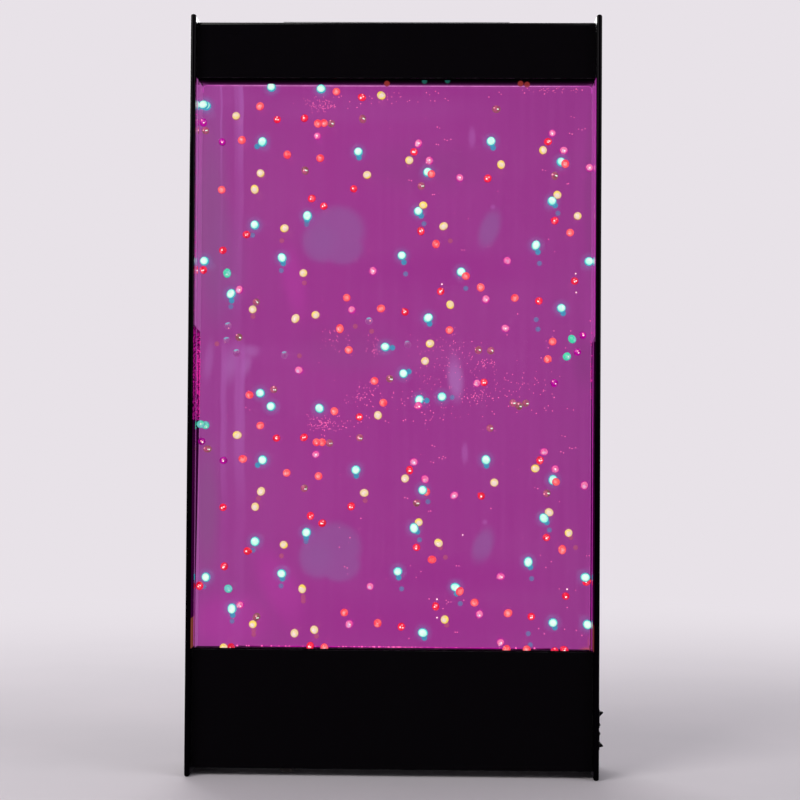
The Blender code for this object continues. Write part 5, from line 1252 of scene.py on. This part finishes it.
fizzSettings = [  # count, centre x, z, depth, spread x, z, depth in mm, smallest and largest, finish, seed
    (54, -83, 739, 46, 18, 8, 12, 0.9, 1.3, "fizz", 1),
    (34, -90, 742, 46, 27, 9, 12, 0.8, 1.2, "fizz", 21),
    (26, 173, 757.5, 46, 38, 4, 12, 0.9, 1.3, "fizz", 22),
    (14, -13, 748, 46, 24, 8, 12, 0.9, 1.4, "fizz", 23),
    (30, -72, 477, 46, 22, 16, 12, 0.9, 1.4, "fizz", 2),
    (26, -22, 468, 46, 18, 20, 12, 0.9, 1.3, "fizz", 3),
    (60, 62, 462, 46, 36, 34, 12, 0.9, 1.4, "fizz", 4),
    (44, 78, 430, 46, 40, 34, 12, 0.9, 1.3, "fizz", 17),
    (26, 100, 453, 46, 14, 7, 10, 1.0, 1.5, "fizz", 5),
    (44, 143, 430, 46, 44, 18, 12, 0.9, 1.4, "fizz", 6),
    (26, 32, 444, 46, 26, 36, 12, 0.9, 1.3, "fizz", 18),
    (30, 60, 402, 46, 90, 24, 12, 0.9, 1.3, "fizz", 19),
    (22, -30, 424, 46, 18, 12, 12, 0.9, 1.3, "fizz", 7),
    (64, -80, 386, 46, 19, 10, 12, 0.9, 1.3, "fizz", 8),
    (34, -70, 384, 46, 24, 11, 12, 0.9, 1.3, "fizz", 9),
    (22, -41, 413, 46, 24, 10, 12, 0.9, 1.3, "fizz", 10),
    (24, 92, 416, 46, 20, 9, 12, 0.9, 1.4, "fizz", 11),
    (70, 0, 450, 46, 205, 300, 13, 0.7, 1.1, "fizz", 12),
    (110, -218.1, 436, 33, 0.4, 50, 4, 0.9, 1.8, "wallFizz", 13),
    (110, -218.1, 436, 52, 0.4, 50, 5, 0.9, 1.8, "wallFizz", 14),
    (24, -218.2, 620, 8, 0.2, 130, 3, 0.8, 1.3, "wallFizz", 24),
    (26, 218.0, 440, 45, 0.3, 60, 14, 0.9, 1.8, "wallFizz", 15),
    (60, 0, 136.2, 60.6, 120, 0.3, 0.6, 0.8, 1.4, "footFizz", 16)]

looseBubbles = [  # x, z and depth in mm
    (-64.5, 749.9, 49), (-61.1, 749.5, 40), (-52.5, 745.4, 52), (-39.4, 739.9, 34), (-43.7, 736.2, 37),
    (-53.8, 735.2, 37), (-30.3, 751.1, 49), (-26.9, 746.0, 34), (-5.2, 741.9, 43), (12.4, 742.5, 34),
    (14.7, 744.2, 37), (23.8, 745.4, 52), (33.3, 755.8, 52), (36.9, 750.7, 37), (43.4, 755.6, 43),
    (46.7, 752.5, 37), (37.9, 746.8, 52), (42.8, 743.2, 34), (54.3, 746.4, 37), (57.5, 745.4, 43),
    (158.8, 754.9, 34), (164.9, 754.6, 52), (174.4, 755.2, 34), (199.7, 758.5, 43), (205.7, 755.7, 34),
    (142.5, 753.5, 40), (124.6, 484.8, 46), (136.4, 508.7, 52), (167.6, 478.1, 40), (169.7, 470.2, 37),
    (189.6, 470.7, 46), (162.2, 459.2, 40), (176.0, 489.0, 37), (195.0, 489.5, 43), (217.0, 501.1, 49),
    (-164.6, 402.2, 37), (-160.3, 399.6, 37), (-60.6, 393.4, 34), (-63.0, 392.9, 43), (-52.6, 388.3, 55),
    (-54.3, 380.9, 52), (-57.3, 382.2, 49), (-45.1, 381.8, 55), (-40.9, 386.0, 55), (-31.2, 394.0, 49),
    (-27.9, 391.7, 46), (-36.8, 387.1, 43), (-9.8, 388.2, 40), (-6.3, 386.6, 43), (-30.5, 417.8, 37),
    (-39.5, 418.8, 46), (-33.1, 414.7, 55), (-38.3, 411.3, 49), (-24.2, 417.1, 55), (-26.5, 409.8, 46),
    (-30.4, 405.2, 37), (-15.3, 418.7, 37), (-1.3, 419.5, 52), (-2.5, 414.5, 40), (-81.1, 372.4, 49),
    (-77.1, 371.2, 40), (-49.7, 371.0, 55), (19.4, 421.6, 52), (15.1, 413.6, 34), (8.9, 407.8, 37),
    (11.5, 405.7, 49), (30.5, 398.1, 49), (33.7, 396.1, 49), (40.1, 400.1, 55), (43.4, 397.9, 55),
    (50.7, 392.0, 37), (54.2, 390.0, 37), (35.0, 389.5, 46), (39.6, 389.6, 55), (34.3, 386.0, 37),
    (10.2, 388.7, 34), (12.5, 389.8, 46), (21.0, 388.4, 55), (74.9, 413.5, 46), (81.5, 414.0, 52),
    (77.7, 416.0, 49), (89.4, 419.6, 34), (88.0, 416.1, 55), (91.5, 416.9, 49), (89.8, 413.8, 40),
    (93.8, 414.5, 37), (98.5, 420.6, 55), (108.9, 414.0, 34), (115.4, 415.0, 43), (108.5, 399.8, 46),
    (110.7, 396.8, 40), (97.9, 393.8, 43), (42.1, 361.5, 52), (45.1, 360.3, 52), (50.0, 347.8, 55),
    (53.3, 346.8, 37), (54.4, 349.3, 40), (57.2, 347.9, 55), (40.7, 343.2, 52), (43.8, 342.5, 46),
    (12.2, 303.6, 40), (15.2, 302.3, 52), (165.0, 422.4, 46), (177.5, 415.8, 52), (122.8, 417.8, 49),
    (125.0, 416.6, 52), (127.2, 422.4, 43), (126.4, 405.5, 40), (135.6, 398.7, 37), (157.1, 397.7, 40),
    (152.1, 401.2, 40), (170.5, 406.3, 43), (168.0, 401.3, 43), (166.0, 403.5, 34), (175.9, 400.8, 55),
    (191.5, 403.3, 40), (198.6, 401.9, 46), (189.4, 372.4, 46), (185.1, 373.4, 34), (196.8, 359.1, 40),
    (194.9, 359.8, 52), (201.5, 360.1, 49), (185.0, 355.5, 49), (187.5, 354.3, 40), (155.5, 316.0, 34),
    (160.0, 314.2, 55), (38.7, 288.0, 52), (41.0, 288.5, 52), (69.9, 227.8, 52), (72.8, 227.8, 52),
    (30.7, 222.3, 37), (25.2, 214.4, 55), (18.7, 227.6, 52), (107.4, 292.6, 34), (183.4, 300.3, 43),
    (213.3, 241.0, 37), (216.5, 240.9, 43), (163.3, 240.1, 55), (168.6, 227.7, 40), (174.3, 234.3, 37),
    (184.0, 203.5, 49), (201.0, 203.2, 34), (-59.6, 248.3, 37), (-53.5, 227.2, 34), (-51.0, 225.3, 40),
    (-59.7, 270.1, 37), (-36.6, 279.8, 49), (-47.9, 259.1, 34), (55.4, 181.7, 37), (58.7, 190.2, 43),
    (61.1, 187.6, 52), (59.4, 186.6, 40), (64.1, 188.2, 46), (48.8, 170.5, 49), (71.4, 154.5, 49),
    (69.1, 153.9, 55), (39.9, 192.1, 37), (17.9, 148.4, 37), (78.4, 189.5, 55), (168.1, 153.0, 55),
    (161.8, 158.8, 55), (209.7, 151.5, 55), (202.8, 158.1, 46), (189.4, 160.1, 37), (192.3, 183.7, 40),
    (45.6, 714.7, 37), (48.4, 715.1, 46), (53.9, 703.4, 52), (56.7, 700.4, 40), (60.8, 700.5, 34),
    (44.6, 697.5, 49), (47.1, 695.0, 37), (14.5, 656.8, 46), (17.2, 657.0, 52), (40.9, 639.8, 40),
    (42.8, 639.3, 34), (80.9, 614.4, 49), (73.8, 578.1, 37), (76.7, 579.0, 46), (194.8, 729.4, 52),
    (197.4, 726.3, 40), (202.0, 712.3, 34), (206.8, 714.0, 49), (209.3, 713.3, 37), (192.9, 709.6, 46),
    (196.1, 709.8, 52), (162.8, 667.9, 40), (165.8, 666.2, 34), (190.6, 653.6, 49), (191.3, 652.4, 37),
    (170.1, 591.3, 46), (177.4, 578.3, 52), (113.3, 644.0, 40), (113.9, 753.1, 34), (116.6, 753.7, 49),
    (102.7, 748.3, 37), (142.4, 754.5, 46), (165.2, 754.8, 52)]

brightBubbles = [
    (51.9, 539.8, 33), (199.9, 552.7, 39), (200.3, 531.6, 36), (192.0, 204.0, 39), (48.6, 192.0, 36),
    (76.5, 263.0, 36), (48.8, 171.5, 39)]

footBubbles = [-174.5, -164.0, -161.5, -146.9, -136.2, -127.6, -120.1, -115.9, -56.1, -52.4, -43.3,
               -38.1, -35.0, -22.5, -20.9, -15.9, -4.9, 0.6, 5.5, 7.8, 13.7, 20.7, 25.1, 136.9, 157.6]

growFizz = fizzTree()
fizzMeshes = {"fizz": [], "wallFizz": [], "footFizz": []}
for count, x, z, depth, spreadX, spreadZ, spreadY, smallest, largest, finish, seed in fizzSettings:
    fizzMeshes[finish].append(grown(growFizz, onePoint, {
        "Count": count, "Centre": inPanel(x, z, depth), "Spread": mm(spreadX, spreadY, spreadZ),
        "Smallest": smallest / 1000, "Largest": largest / 1000, "Seed": seed}))
plain = {"Reach": 0.0, "Spread": 0.0, "Smallest": 0.0011, "Largest": 0.0016, "Share": 1.0, "Seed": 40}
places = [inPanel(*place) for place in looseBubbles]
fizzMeshes["fizz"].append(grown(clingBubbles, pointMesh(places), plain))
places = [mm(x - panelMiddle, 11.0, 136.2) for x in footBubbles]
larger = {**plain, "Smallest": 0.0014, "Largest": 0.0024}
fizzMeshes["footFizz"].append(grown(clingBubbles, pointMesh(places), larger))
for finish, meshes in fizzMeshes.items():
    addPiece(finish + "Bubbles", joined(meshes), airMaterials[finish], "housing", "clear_plastic")
places = [inPanel(*place) for place in brightBubbles]
bright = grown(clingBubbles, pointMesh(places), {**plain, "Smallest": 0.0018, "Largest": 0.0022})
addPiece("brightBubbles", bright, airMaterials["glint"], "housing", "clear_plastic")
print("bubbles ready")


# painted light from the beads: faint glowing discs on the panes behind and below them, soft halos round the
# mint ones, and painted reflections of a few beads under the water's surface

tealReflections = [  # x and z in mm
    (-156.9, 696.3), (-42.0, 684.1), (108.4, 695.6), (28.2, 618.7), (178.1, 631.1), (-100.1, 612.7),
    (-126.4, 564.7), (9.2, 566.5), (159.2, 578.6), (-184.1, 522.4), (38.4, 497.6), (187.7, 510.2),
    (-3.1, 470.6), (15.5, 444.0), (35.8, 411.7), (-153.3, 338.1), (-42.6, 326.8), (103.0, 339.1),
    (-124.5, 211.2), (-98.2, 256.9), (5.7, 213.6), (26.2, 264.9), (170.6, 276.5), (152.6, 226.3),
    (70.5, 196.3), (34.8, 146.6), (180.1, 159.5), (-179.9, 170.0)]

greyReflections = [
    (31.4, 610.0), (181.3, 622.4), (-100.5, 608.7), (-128.5, 556.7), (11.1, 553.5), (160.9, 566.0),
    (-216.5, 555.6), (-161.2, 596.2), (-184.9, 515.8), (78.7, 537.6), (157.6, 503.0), (159.6, 492.3),
    (64.1, 415.4), (-157.7, 242.7), (-126.0, 203.2), (-212.5, 201.7), (-98.4, 253.0), (9.0, 201.1),
    (28.6, 255.9), (173.5, 268.0), (154.0, 213.7), (74.6, 185.2), (-180.6, 163.4), (150.6, 152.4),
    (152.9, 140.0), (37.8, 298.6)]

brownReflections = [
    (-102.5, 542.9), (-128.2, 590.3), (61.0, 590.8), (-159.9, 504.8), (-107.4, 460.9), (-200.3, 473.9),
    (-45.0, 494.4), (-26.5, 489.0), (-156.1, 148.7), (-156.2, 153.6), (-125.8, 236.7), (-32.5, 299.3),
    (-101.0, 191.4), (-100.9, 186.5), (57.7, 236.6), (52.2, 247.5), (202.7, 248.7), (197.2, 259.8),
    (-152.1, 300.7), (-85.9, 147.5), (59.7, 161.1)]


def reflectionMaterial(name, colour, strength, fullAt):
    # painted light: a glowing disc that fades out towards its rim
    material, tree, shader, where = newMaterial(name, baseColor=(0, 0, 0, 1), specular=0.0,
                                                glow=1.0, roughness=1.0)
    fade = addNode(tree, "ShaderNodeAttribute", attribute_name="fade").outputs["Fac"]
    cover = sums(tree, "MULTIPLY", sums(tree, "POWER", ranged(tree, fade, 0.0, fullAt), 1.5), strength)
    mottle = ranged(tree, noisy(tree, where, 240.0, 2.0, 0.5), 0.3, 0.7, 0.9, 1.0)
    feed(tree, shader, alpha=sums(tree, "MULTIPLY", cover, mottle),
         emission=blended(tree, mottle, tone(0, 0, 0), colour))
    return material


def behind(spot, depth):
    # where the back pane shows a bead's glow, seen from the front
    eye = Vector(cameraSettings["place"])
    seen = eye + (spot - eye) * ((depth / 1000 - eye.y) / (spot.y - eye.y))
    return seen.x * 1000 + panelMiddle, seen.z * 1000


reflectionSettings = [
    {"name": "tealReflections", "places": tealReflections, "depth": 10.9, "radius": 0.0036,
     "finish": reflectionMaterial("tealReflection", tone(66, 154, 194), 0.74, 0.24)},
    {"name": "greyReflections", "places": greyReflections, "depth": 10.8, "radius": 0.0036,
     "finish": reflectionMaterial("greyReflection", tone(100, 128, 182), 0.5, 0.4)},
    {"name": "brownReflections", "places": brownReflections, "depth": 10.6, "radius": 0.0036,
     "finish": reflectionMaterial("brownReflection", tone(196, 96, 108), 0.3, 0.4)},
    {"name": "emberMirrored", "places": [(-10.2, 761.1), (144.5, 760.3), (137.3, 761.4)],
     "depth": -22.3, "radius": 0.0038, "finish": reflectionMaterial("emberMirror",
                                                                    tone(150, 52, 48), 0.66, 0.3)},
    {"name": "tealMirrored", "places": [(31.3, 763.9), (56.7, 764.6)], "depth": -22.3, "radius": 0.0036,
     "finish": reflectionMaterial("tealMirror", tone(34, 96, 90), 0.6, 0.4)},
    {"name": "mintHalos", "places": [behind(spot, 11.2) for spot in beadCentres["mint"]],
     "depth": 11.2, "radius": 0.0125, "finish": reflectionMaterial("mintHalo", tone(120, 128, 190),
                                                                   0.42, 1.0)}]
flatLenses = discTree()


def keptBetween(mesh, left, right):
    # cuts off whatever reaches past the side walls and closes the cuts
    form = bmesh.new()
    form.from_mesh(mesh)
    for across, side in ((left, -1), (right, 1)):
        bmesh.ops.bisect_plane(form, geom=form.verts[:] + form.edges[:] + form.faces[:],
                               plane_co=mm(across, 0, 0), plane_no=(side, 0, 0), clear_outer=True)
    bmesh.ops.holes_fill(form, edges=[edge for edge in form.edges if edge.is_boundary], sides=0)
    form.to_mesh(mesh)
    form.free()
    return mesh


for row in reflectionSettings:
    places = [mm(x - panelMiddle, row["depth"], z) for x, z in row["places"]]
    mesh = grown(flatLenses, pointMesh(places),
                 {"Radius": row["radius"], "Flatness": 0.01, "Step": 0.000004})
    mesh = keptBetween(mesh, leftWall, rightWall)
    addPiece(row["name"], mesh, row["finish"], "housing", "clear_plastic")
print("reflections ready")


# the water's surface with its painted reflection, and the waterline and thin seams painted as glowing lines

surfaceMaterial, tree, shader, where = newMaterial("waterSurface", metallic=1.0,
                                                   edgeTint=(0.05, 0.02, 0.05, 1.0), glow=1.0)
x, y, z = addNode(tree, "ShaderNodeSeparateXYZ", {0: where}).outputs
ripple = noisy(tree, where, 60.0, 2.0, 0.5, (1.0, 2.0, 1.0))
nearBack = ranged(tree, y, -0.022, 0.011)
# painted reflection: the surface's underside takes the lit sheet's colour, near black at the front and
# brightening towards the back, where it glows as well
tint = ramped(tree, nearBack, [(0.0, tone(4, 0, 4)), (0.5, tone(40, 8, 38)), (0.85, tone(96, 36, 92)),
                               (1.0, tone(140, 70, 136))])
gleam = ramped(tree, nearBack, [(0.0, tone(0, 0, 0)), (0.45, tone(16, 1, 15)),
                                (0.8, tone(58, 14, 54)), (1.0, tone(120, 50, 112))])
feed(tree, shader, baseColor=tint, emission=gleam, roughness=ranged(tree, ripple, 0.3, 0.7, 0.05, 0.14))
bumped(tree, shader, ripple, 0.12, 0.0006)
waterSettings = {
    "left": -222.0, "right": 215.5, "front": -22.8, "back": 11.8, "height": 765.4,
    "cellsAcross": 60, "cellsDeep": 8, "wave": 0.12, "rise": 1.1, "fade": 1.6}


def waterSurface(settings):
    # a sheet that climbs a little at its walls, the way water does
    form = bmesh.new()
    rows = []
    for i in range(settings["cellsAcross"] + 1):
        row = []
        for j in range(settings["cellsDeep"] + 1):
            across = settings["left"] + (settings["right"] - settings["left"]) * i / settings["cellsAcross"]
            share = 0.5 - 0.5 * math.cos(math.pi * j / settings["cellsDeep"])
            deep = settings["front"] + (settings["back"] - settings["front"]) * share
            wall = min(across - settings["left"], settings["right"] - across, deep - settings["front"],
                       settings["back"] - deep)
            wave = settings["wave"] * math.sin(across * 0.11) * math.cos(deep * 0.2)
            climb = settings["rise"] * math.exp(-wall / settings["fade"])
            row.append(form.verts.new(mm(across, deep, settings["height"] + wave + climb)))
        rows.append(row)
    for i in range(settings["cellsAcross"]):
        for j in range(settings["cellsDeep"]):
            form.faces.new((rows[i][j], rows[i + 1][j], rows[i + 1][j + 1], rows[i][j + 1]))
    mesh = meshFrom(form, "waterSurface")
    mesh.shade_smooth()
    return mesh


addPiece("waterSurface", waterSurface(waterSettings), surfaceMaterial, "housing", "clear_plastic")


def seamMaterial(name, middle, ends, level, half, axis):
    # painted light: a thin glowing line that fades along its length
    material, tree, shader, where = newMaterial(name, glow=level, roughness=0.3)
    along = addNode(tree, "ShaderNodeSeparateXYZ", {0: where}).outputs[axis]
    part = ramped(tree, ranged(tree, along, half[0], half[1]),
                  [(0.0, ends), (0.12, middle), (0.88, middle), (1.0, ends)])
    flicker = ranged(tree, noisy(tree, where, 130.0, 3.0, 0.6), 0.35, 0.65, 0.7, 1.0)
    glow = blended(tree, flicker, tone(60, 10, 56), part)
    feed(tree, shader, emission=glow, baseColor=blended(tree, 0.5, glow, tone(30, 6, 28)))
    return material


def cornered(left, right, height, drop, radius):
    # a line along the water with its ends rounded down the side walls
    places = [mm(left, 11.0, height - drop)]
    for middle, start in ((left + radius, math.pi), (right - radius, math.pi / 2)):
        for step in range(7):
            angle = start - step * math.pi / 12
            rise = height - radius + radius * math.sin(angle)
            places.append(mm(middle + radius * math.cos(angle), 11.0, rise))
    places.append(mm(right, 11.0, height - drop))
    return places


seamSettings = [
    {"name": "waterline", "path": cornered(-221.4, 215.0, 764.9, 8, 4), "radius": 0.00045,
     "finish": seamMaterial("waterlineGlow", tone(222, 140, 208), tone(190, 70, 176), 1.0,
                            (-0.222, 0.2155), 0)},
    {"name": "footSeam", "path": [mm(-176, 11.2, 135.9), mm(-60, 11.2, 135.9), mm(60, 11.2, 135.9),
                                  mm(172, 11.2, 135.9)],
     "radius": 0.0006,
     "finish": seamMaterial("footSeamGlow", tone(176, 0, 146), tone(70, 0, 60), 1.1,
                            (-0.177, 0.173), 0)},
    {"name": "rightSeam", "path": [mm(215.2, -22.6, 137), mm(215.2, -22.6, 300),
                                   mm(215.2, -22.6, 478)], "radius": 0.0005,
     "finish": seamMaterial("rightSeamGlow", tone(170, 10, 150), tone(110, 0, 100), 1.0,
                            (0.13, 0.49), 2)},
    {"name": "edgeSeam", "path": [mm(215.3, -48.4, 482), mm(215.3, -48.4, 620),
                                  mm(215.3, -48.4, 763)], "radius": 0.0003,
     "finish": seamMaterial("edgeSeamGlow", tone(160, 10, 144), tone(140, 10, 126), 0.9,
                            (0.47, 0.77), 2)}]
for row in seamSettings:
    mesh = grown(growThread, pathMesh(row["path"]), {"Radius": row["radius"], "Sides": 6})
    addPiece(row["name"], mesh, row["finish"], "housing", "clear_silicone")
print("water and seams ready")


# the lit sheet's painted reflection in the side walls, with painted shade on the darker strips

def wallMaterial(name, middle, second, level, fleck, fleckShare, sheen=0.5):
    # painted reflection: broad glowing patches of two tones with small flecks of a third
    material, tree, shader, where = newMaterial(name, glow=level, roughness=0.25, specular=sheen)
    broad = ranged(tree, noisy(tree, where, 24.0, 3.0, 0.6, (1.0, 1.0, 0.4)), 0.35, 0.65)
    specks = ranged(tree, noisy(tree, where, 420.0, 2.0, 0.6), fleckShare, fleckShare + 0.06)
    glow = blended(tree, specks, blended(tree, broad, middle, second), fleck)
    feed(tree, shader, emission=glow, baseColor=blended(tree, 0.7, glow, tone(16, 4, 14)))
    return material


def wallStrip(across, rows):
    # a film against a side wall that carries painted light: height, front edge and back edge of each row in mm
    form = bmesh.new()
    last = None
    for height, front, back in rows:
        pair = [form.verts.new(mm(across, depth - panelFront, height)) for depth in (front, back)]
        if last:
            form.faces.new((last[0], last[1], pair[1], pair[0]))
        last = pair
    return meshFrom(form, "wallStrip")


# each strip glows with painted light: the sheet's painted reflection, darker painted shade low on the walls and
# at the pane's end, glowing flecks, and a reddish painted glow near the foot
wallSettings = [
    {"name": "leftMirror", "across": -222.05,
     "rows": [(136, 36, 68.1), (150, 36, 68.1), (200, 38, 68.1), (300, 49, 68.1),
              (390, 57, 68.1), (480, 60, 68.1), (487, 58, 68.1), (492, 10, 68.1),
              (620, 10, 68.1), (764, 10, 68.1)],
     "finish": wallMaterial("leftMirrorGlow", tone(146, 68, 136), tone(134, 72, 130), 0.94,
                            tone(160, 66, 146), 0.66)},
    {"name": "leftDark", "across": -222.1, "rows": [(492, 0.8, 9.6), (620, 0.8, 9.6), (764, 0.8, 9.6)],
     "finish": wallMaterial("leftDarkGlow", tone(54, 0, 48), tone(24, 0, 22), 0.9,
                            tone(150, 30, 110), 0.6)},
    {"name": "leftSpeckled", "across": -222.1,
     "rows": [(388, 0.8, 56.8), (420, 0.8, 58), (490, 0.8, 57.6)],
     "finish": wallMaterial("leftSpeckledGlow", tone(70, 0, 62), tone(34, 0, 32), 0.95,
                            tone(206, 30, 158), 0.53, 0.0)},
    {"name": "leftLowDark", "across": -222.1,
     "rows": [(172, 0.8, 36.6), (200, 0.8, 37.6), (300, 0.8, 48.6), (388, 0.8, 56.6)],
     "finish": wallMaterial("leftLowDarkGlow", tone(50, 0, 47), tone(30, 0, 29), 0.95,
                            tone(84, 8, 76), 0.66, 0.0)},
    {"name": "leftPaneDark", "across": -221.8,
     "rows": [(172, 20.9, 27.3), (300, 20.9, 27.3), (388, 20.9, 27.3)],
     "finish": wallMaterial("leftPaneDarkGlow", tone(48, 0, 45), tone(28, 0, 27), 0.95,
                            tone(84, 8, 76), 0.66, 0.0)},
    {"name": "leftPaneSpeckled", "across": -221.8,
     "rows": [(388, 20.9, 27.3), (440, 20.9, 27.3), (490, 20.9, 27.3)],
     "finish": wallMaterial("leftPaneSpeckledGlow", tone(70, 0, 62), tone(34, 0, 32), 0.95,
                            tone(206, 30, 158), 0.53, 0.0)},
    # a reddish painted glow low on the left wall
    {"name": "leftRust", "across": -222.1,
     "rows": [(139, 0.8, 35.6), (150, 0.8, 35.6), (172, 0.8, 36.4)],
     "finish": wallMaterial("leftRedPaintedLightGlow", tone(122, 60, 46), tone(88, 40, 30), 0.95,
                            tone(134, 62, 56), 0.62, 0.0)},
    {"name": "rightMirror", "across": 215.6,
     "rows": [(140, 54, 68.1), (300, 53, 68.1), (476, 53, 68.1), (482, 3, 68.1),
              (620, 3, 68.1), (764, 3, 68.1)],
     "finish": wallMaterial("rightMirrorGlow", tone(146, 54, 134), tone(138, 52, 130), 0.9,
                            tone(156, 60, 144), 0.66)},
    {"name": "rightDark", "across": 215.62,
     "rows": [(168, 0.8, 52.5), (300, 0.8, 52.5), (476, 0.8, 52.5)],
     "finish": wallMaterial("rightDarkGlow", tone(44, 0, 40), tone(26, 0, 25), 0.95,
                            tone(130, 10, 108), 0.66, 0.0)},
    # a reddish painted glow low on the right wall
    {"name": "rightRust", "across": 215.62,
     "rows": [(139, 0.8, 52.5), (150, 0.8, 52.5), (168, 0.8, 52.5)],
     "finish": wallMaterial("rightRedPaintedLightGlow", tone(108, 44, 44), tone(78, 30, 30), 0.95,
                            tone(140, 60, 56), 0.62, 0.0)}]
paintedShadeFilm, tree, shader, where = newMaterial("paintedShadeFilm", specular=0.0, roughness=0.8)
feed(tree, shader, baseColor=blended(tree, noisy(tree, where, 300.0, 2.0, 0.5), tone(4, 2, 5),
                                     tone(9, 6, 10)))
# dull black films that paint shade where stray light would show: name, then front and back edge as y and height
# in mm
maskSettings = [
    ("upperLipFilm", (-39.5, 763.95), (-29.35, 763.95)),
    ("lowerLipFilm", (-39.5, 138.05), (-29.35, 138.05)),
    ("waterlineFilm", (-22.95, 765.0), (-22.95, 770.5))]
for name, (nearY, nearZ), (farY, farZ) in maskSettings:
    form = bmesh.new()
    form.faces.new([form.verts.new(mm(x, y, z)) for x, y, z in (
        (leftWall, nearY, nearZ), (rightWall, nearY, nearZ), (rightWall, farY, farZ),
        (leftWall, farY, farZ))])
    addPiece(name, meshFrom(form, name), paintedShadeFilm, "housing", "black_satin")

for row in wallSettings:
    addPiece(row["name"], wallStrip(row["across"], row["rows"]), row["finish"], "housing", "white_film")
print("side walls ready")
